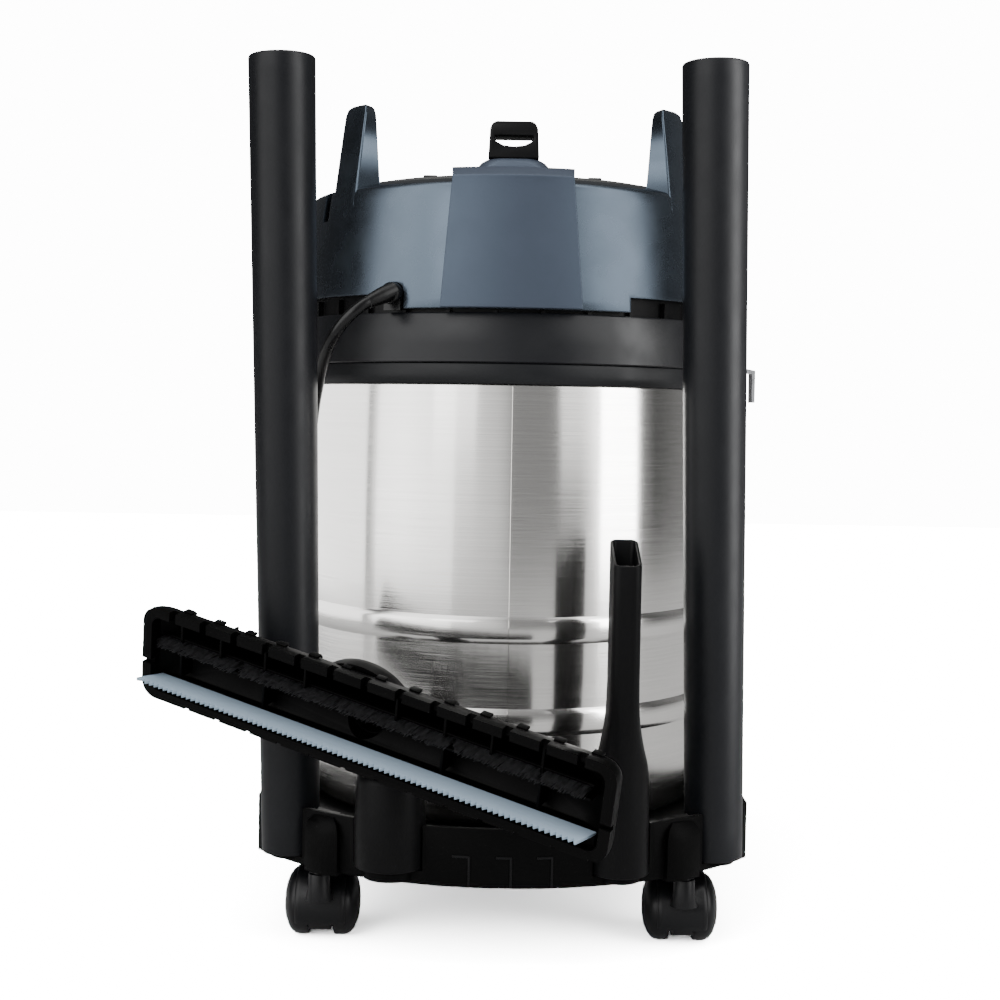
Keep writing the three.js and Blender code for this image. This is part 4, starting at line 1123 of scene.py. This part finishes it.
def make_nozzle_trim():
    """Tabs along the outer lip, the ribs inside the mouth and the brush's holder."""
    high = NOZZLE["half_height"]
    tabs = [block((u + 2.4, u + 9), (high - 1.6, high + 0.15), (-13, -8)) for u in LIP_BLOCKS]
    ribs = [block((u - 0.9, u + 0.9), (-16, 25), (-23.5, -9)) for u in (-143, -78, 52, 117)]
    ribs += [block((u - 0.8, u + 0.8), (9, 25), (-24, -6)) for u in (-110, -46, 20, 85)]
    holder = [block((-160, 150), (1, 2.6), (-22, -8)), block((-160, 150), (9.4, 11), (-22, -10))]
    trim = solid("nozzle_trim", *at_nozzle(joined(*tabs, *ribs, *holder)))
    dressed(softened(trim, 0.35), "nozzle_head", DEEP_BLACK)


def make_brush():
    """Tufts of bristles in a row, on a backing strip, with a gap left out at each rib."""
    chance = random.Random(7)
    shapes = [block((-158, 146), (2.9, 9.1), (-21.5, -16))]
    u = -157.0
    while u < 146:
        if min(abs(u - rib) for rib in (-96, -22, 60, 118)) >= 2.2:
            for _ in range(26):
                foot = Vector((u + chance.uniform(-1.4, 1.4), 6 + chance.uniform(-2.8, 2.8), -17))
                bend = (chance.uniform(-1.2, 1.2), chance.uniform(-0.9, 0.9), chance.uniform(13, 14.6))
                tip = foot + Vector(bend)
                shapes.append(tube([foot, (foot + tip) / 2, tip], [0.26, 0.24, 0.14], 3))
        u += 2.5
    brush = solid("brush", *at_nozzle(joined(*shapes)))
    dressed(brush, "nozzle_head", BRISTLE, ("brush_strip",))


def make_squeegee():
    """A pale strip with a toothed tip and slanted ends."""
    tooth = 3.7
    left, right, back, front = -165.0, 156.0, -8.0, 9.2
    outline = [(left + 9, back), (right, back), (right - 5, front - 0.4)]
    for k in range(int((right - left - 8) / tooth)):
        u = right - 6 - k * tooth
        outline += [(u, front), (u - tooth * 0.5, front - 3.2)]
    outline += [(left + 1, front - 0.4), (left, front - 1.6)]
    strip = loft([upright(outline, v) for v in (-18.5, -16.5)])
    squeegee = softened(solid("squeegee", *at_nozzle(strip)), 0.25)
    dressed(squeegee, "nozzle_head", SQUEEGEE, ("squeegee_strip",))


def make_elbow():
    """The bent pipe from the neck up into the back of the nozzle."""
    x, y, top = NECK["x"], NECK["y"], NECK["top"]
    entry = [TO_NOZZLE @ Vector((SWIVEL["u"], SWIVEL["v"], SWIVEL["back"] - away)) for away in (9, 4, 0.8)]
    route = smooth_route([(x, y, top + 0.3), (x, y, 132), (x, y, 146), (x - 1.2, y - 2, 158)] + entry, 5)
    longer = [route[0] - Vector((0, 0, 3))] + route[1:-1] + [route[-1] * 2 - route[-2]]
    elbow = cut(solid("elbow", tube(route, 17, 40)), tube(longer, SWIVEL["bore"], 40))
    softened(elbow, 0.6, 2, 50)
    dressed(elbow, "nozzle_neck", DARK_TOOL, ("nozzle_elbow",), angle=50)


make_nozzle_body()
make_nozzle_trim()
make_brush()
make_squeegee()
make_elbow()


# ---- CAD nodes that stay, with better finishes ----
KEPT = [
    (RUBBER, ["head_seal"]),
    (MOTOR, ["motor_can"]),
    (BLACK, ["filter_cage"]),
    (TOOL, ["float_ball"]),
    (ZINC, ["handle_rod", "fan_housing", "impeller", "motor_shaft", "latch_left", "latch_right",
            "latch_pivot_left", "latch_pivot_right", "latch_keeper_left", "latch_keeper_right"]),
    (ZINC, [f"caster_{place}_axle" for place, _, _ in CASTERS]),
]
for finish, nodes in KEPT:
    for node in nodes:
        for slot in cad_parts[node].material_slots:
            slot.material = finish

# Mirrored in the drum and the cover, these would darken them more than the photograph shows.
for unreflected in ("wand_tube_left", "wand_tube_right", "power_cord"):
    bpy.data.objects[unreflected].visible_glossy = False


# ---- Floor and light ----
# The studio's light by bearing from the rear (-Y), positive towards +X: near the horizon, and higher up.
STUDIO = [
    (-180, 0.1, 0.15), (-92, 0.05, 0.1), (-84, 0.2, 0.3), (-77, 3.2, 3.2), (-60, 3.6, 3.7), (-36, 2.2, 2.6),
    (-20, 1.6, 1.8), (-5, 1.2, 1.0), (4, 0.35, 0.4), (40, 0.3, 0.4), (46, 1.2, 1.2), (52, 3.8, 3.8),
    (74, 4.4, 4.4), (80, 0.4, 0.5), (90, 0.1, 0.1), (120, 0.3, 0.3), (135, 0.1, 0.15),
]
BRIGHTEST = 4.5


def make_floor():
    """White paper that fades into the background for the camera, and a pale grey to everything else."""
    size = 4.0
    mesh = bpy.data.meshes.new("floor")
    corners = [(-size, -size, 0), (size, -size, 0), (size, size, 0), (-size, size, 0)]
    mesh.from_pydata(corners, [], [(0, 1, 2, 3)])
    floor = bpy.data.objects.new("floor", mesh)
    bpy.context.scene.collection.objects.link(floor)
    nodes = Nodes("floor")
    paper = nodes.add("ShaderNodeBsdfDiffuse")
    seen = nodes.add("ShaderNodeLightPath").outputs["Is Camera Ray"]
    tone = nodes.add("ShaderNodeMix", data_type="RGBA")
    nodes.link(seen, tone.inputs["Factor"])
    tone.inputs["A"].default_value = (0.7, 0.7, 0.7, 1)
    tone.inputs["B"].default_value = (20, 20, 20, 1)
    nodes.link(tone.outputs["Result"], paper.inputs["Color"])
    nodes.link(paper.outputs["BSDF"], nodes.tree.nodes["Material Output"].inputs["Surface"])
    mesh.materials.append(nodes.material)


def make_world():
    """A studio with bright panels at the sides, which the camera itself sees as plain white."""
    world = bpy.data.worlds.new("studio")
    bpy.context.scene.world = world
    world.use_nodes = True
    tree = world.node_tree
    link = tree.links.new
    background = tree.nodes["Background"]
    place = tree.nodes.new("ShaderNodeTexCoord").outputs["Generated"]
    parts = tree.nodes.new("ShaderNodeSeparateXYZ")
    link(place, parts.inputs["Vector"])

    def calculated(operation, first, second=None):
        node = tree.nodes.new("ShaderNodeMath")
        node.operation = operation
        for socket, value in zip(node.inputs, (first, second)):
            if isinstance(value, (int, float)):
                socket.default_value = value
            elif value is not None:
                link(value, socket)
        return node.outputs["Value"]
    rear = calculated("MULTIPLY", parts.outputs["Y"], -1)
    bearing = calculated("ARCTAN2", parts.outputs["X"], rear)
    share = calculated("ADD", calculated("DIVIDE", bearing, 2 * math.pi), 0.5)
    # The ramp's red channel holds the level near the horizon, and its green channel the level higher up.
    panels = tree.nodes.new("ShaderNodeValToRGB")
    link(share, panels.inputs["Fac"])
    ramp = panels.color_ramp
    while len(ramp.elements) < len(STUDIO):
        ramp.elements.new(0.5)
    for element, (angle, low, high) in zip(ramp.elements, STUDIO):
        element.position = angle / 360 + 0.5
        element.color = (low / BRIGHTEST, high / BRIGHTEST, 0, 1)
    levels = tree.nodes.new("ShaderNodeSeparateColor")
    link(panels.outputs["Color"], levels.inputs["Color"])
    height = tree.nodes.new("ShaderNodeMapRange")
    height.interpolation_type = "SMOOTHSTEP"
    height.inputs["From Min"].default_value = 0.25
    height.inputs["From Max"].default_value = 0.6
    link(parts.outputs["Z"], height.inputs["Value"])
    upper = calculated("MULTIPLY", levels.outputs["Green"], height.outputs["Result"])
    below = calculated("SUBTRACT", 1, height.outputs["Result"])
    lower = calculated("MULTIPLY", levels.outputs["Red"], below)
    lit = calculated("MULTIPLY", calculated("ADD", upper, lower), BRIGHTEST)
    seen = tree.nodes.new("ShaderNodeLightPath").outputs["Is Camera Ray"]
    shown = calculated("ADD", calculated("MULTIPLY", lit, calculated("SUBTRACT", 1, seen)),
                       calculated("MULTIPLY", seen, 14))
    link(shown, background.inputs["Strength"])
    background.inputs["Color"].default_value = (1, 1, 1, 1)


def area_light(name, place, target, size, power, lit=()):
    """A rectangular soft box. Where `lit` names pieces, it lights those only."""
    data = bpy.data.lights.new(name, "AREA")
    data.shape = "RECTANGLE"
    data.size, data.size_y = size
    data.energy = power
    light = bpy.data.objects.new(name, data)
    light.location = place
    light.rotation_euler = (Vector(target) - Vector(place)).to_track_quat("-Z", "Y").to_euler()
    bpy.context.scene.collection.objects.link(light)
    if lit:
        light.light_linking.receiver_collection = bpy.data.collections.new(f"lit_by_{name}")
        for piece in lit:
            light.light_linking.receiver_collection.objects.link(bpy.data.objects[piece])


def soft_box(name, bearing, distance, low, high, width, brightness, lit, around=(0.027, 0.0545)):
    """An upright soft box at a bearing from the rear, `brightness` times as bright as white paper."""
    x, y = polar(distance, bearing)
    place = (around[0] + x, around[1] + y, (low + high) / 2)
    power = brightness * math.pi * width * (high - low)
    area_light(name, place, (around[0], around[1], (low + high) / 2), (width, high - low), power, lit)


make_floor()
make_world()
area_light("front_left", (-1.3, -2.3, 1.5), (0, 0, 0.35), (1.2, 1.2), 10)
area_light("front_right", (1.6, -1.9, 1.4), (0, 0, 0.35), (0.9, 1.4), 8)
area_light("overhead", (0, -0.2, 2.6), (0, 0, 0), (2.0, 2.0), 14)
soft_box("drum_left", -110, 2.0, 0.0, 1.6, 2.1, 3.6, ["steel_drum"])
soft_box("drum_front", -52, 2.2, 0.0, 1.6, 1.9, 1.4, ["steel_drum"])
soft_box("drum_strip", 62, 2.0, 0.16, 1.7, 0.8, 16, ["steel_drum"])
soft_box("collar_right", 72, 2.0, 0.2, 1.7, 0.7, 9, ["collar", "rim_band"])
soft_box("wand_band_right", 74, 1.3, 0.0, 1.7, 0.8, 9, ["wand_tube_right"], (0.168, -0.089))
soft_box("wand_band_left", 68, 1.3, 0.0, 1.7, 0.5, 4, ["wand_tube_left"], (-0.114, -0.089))
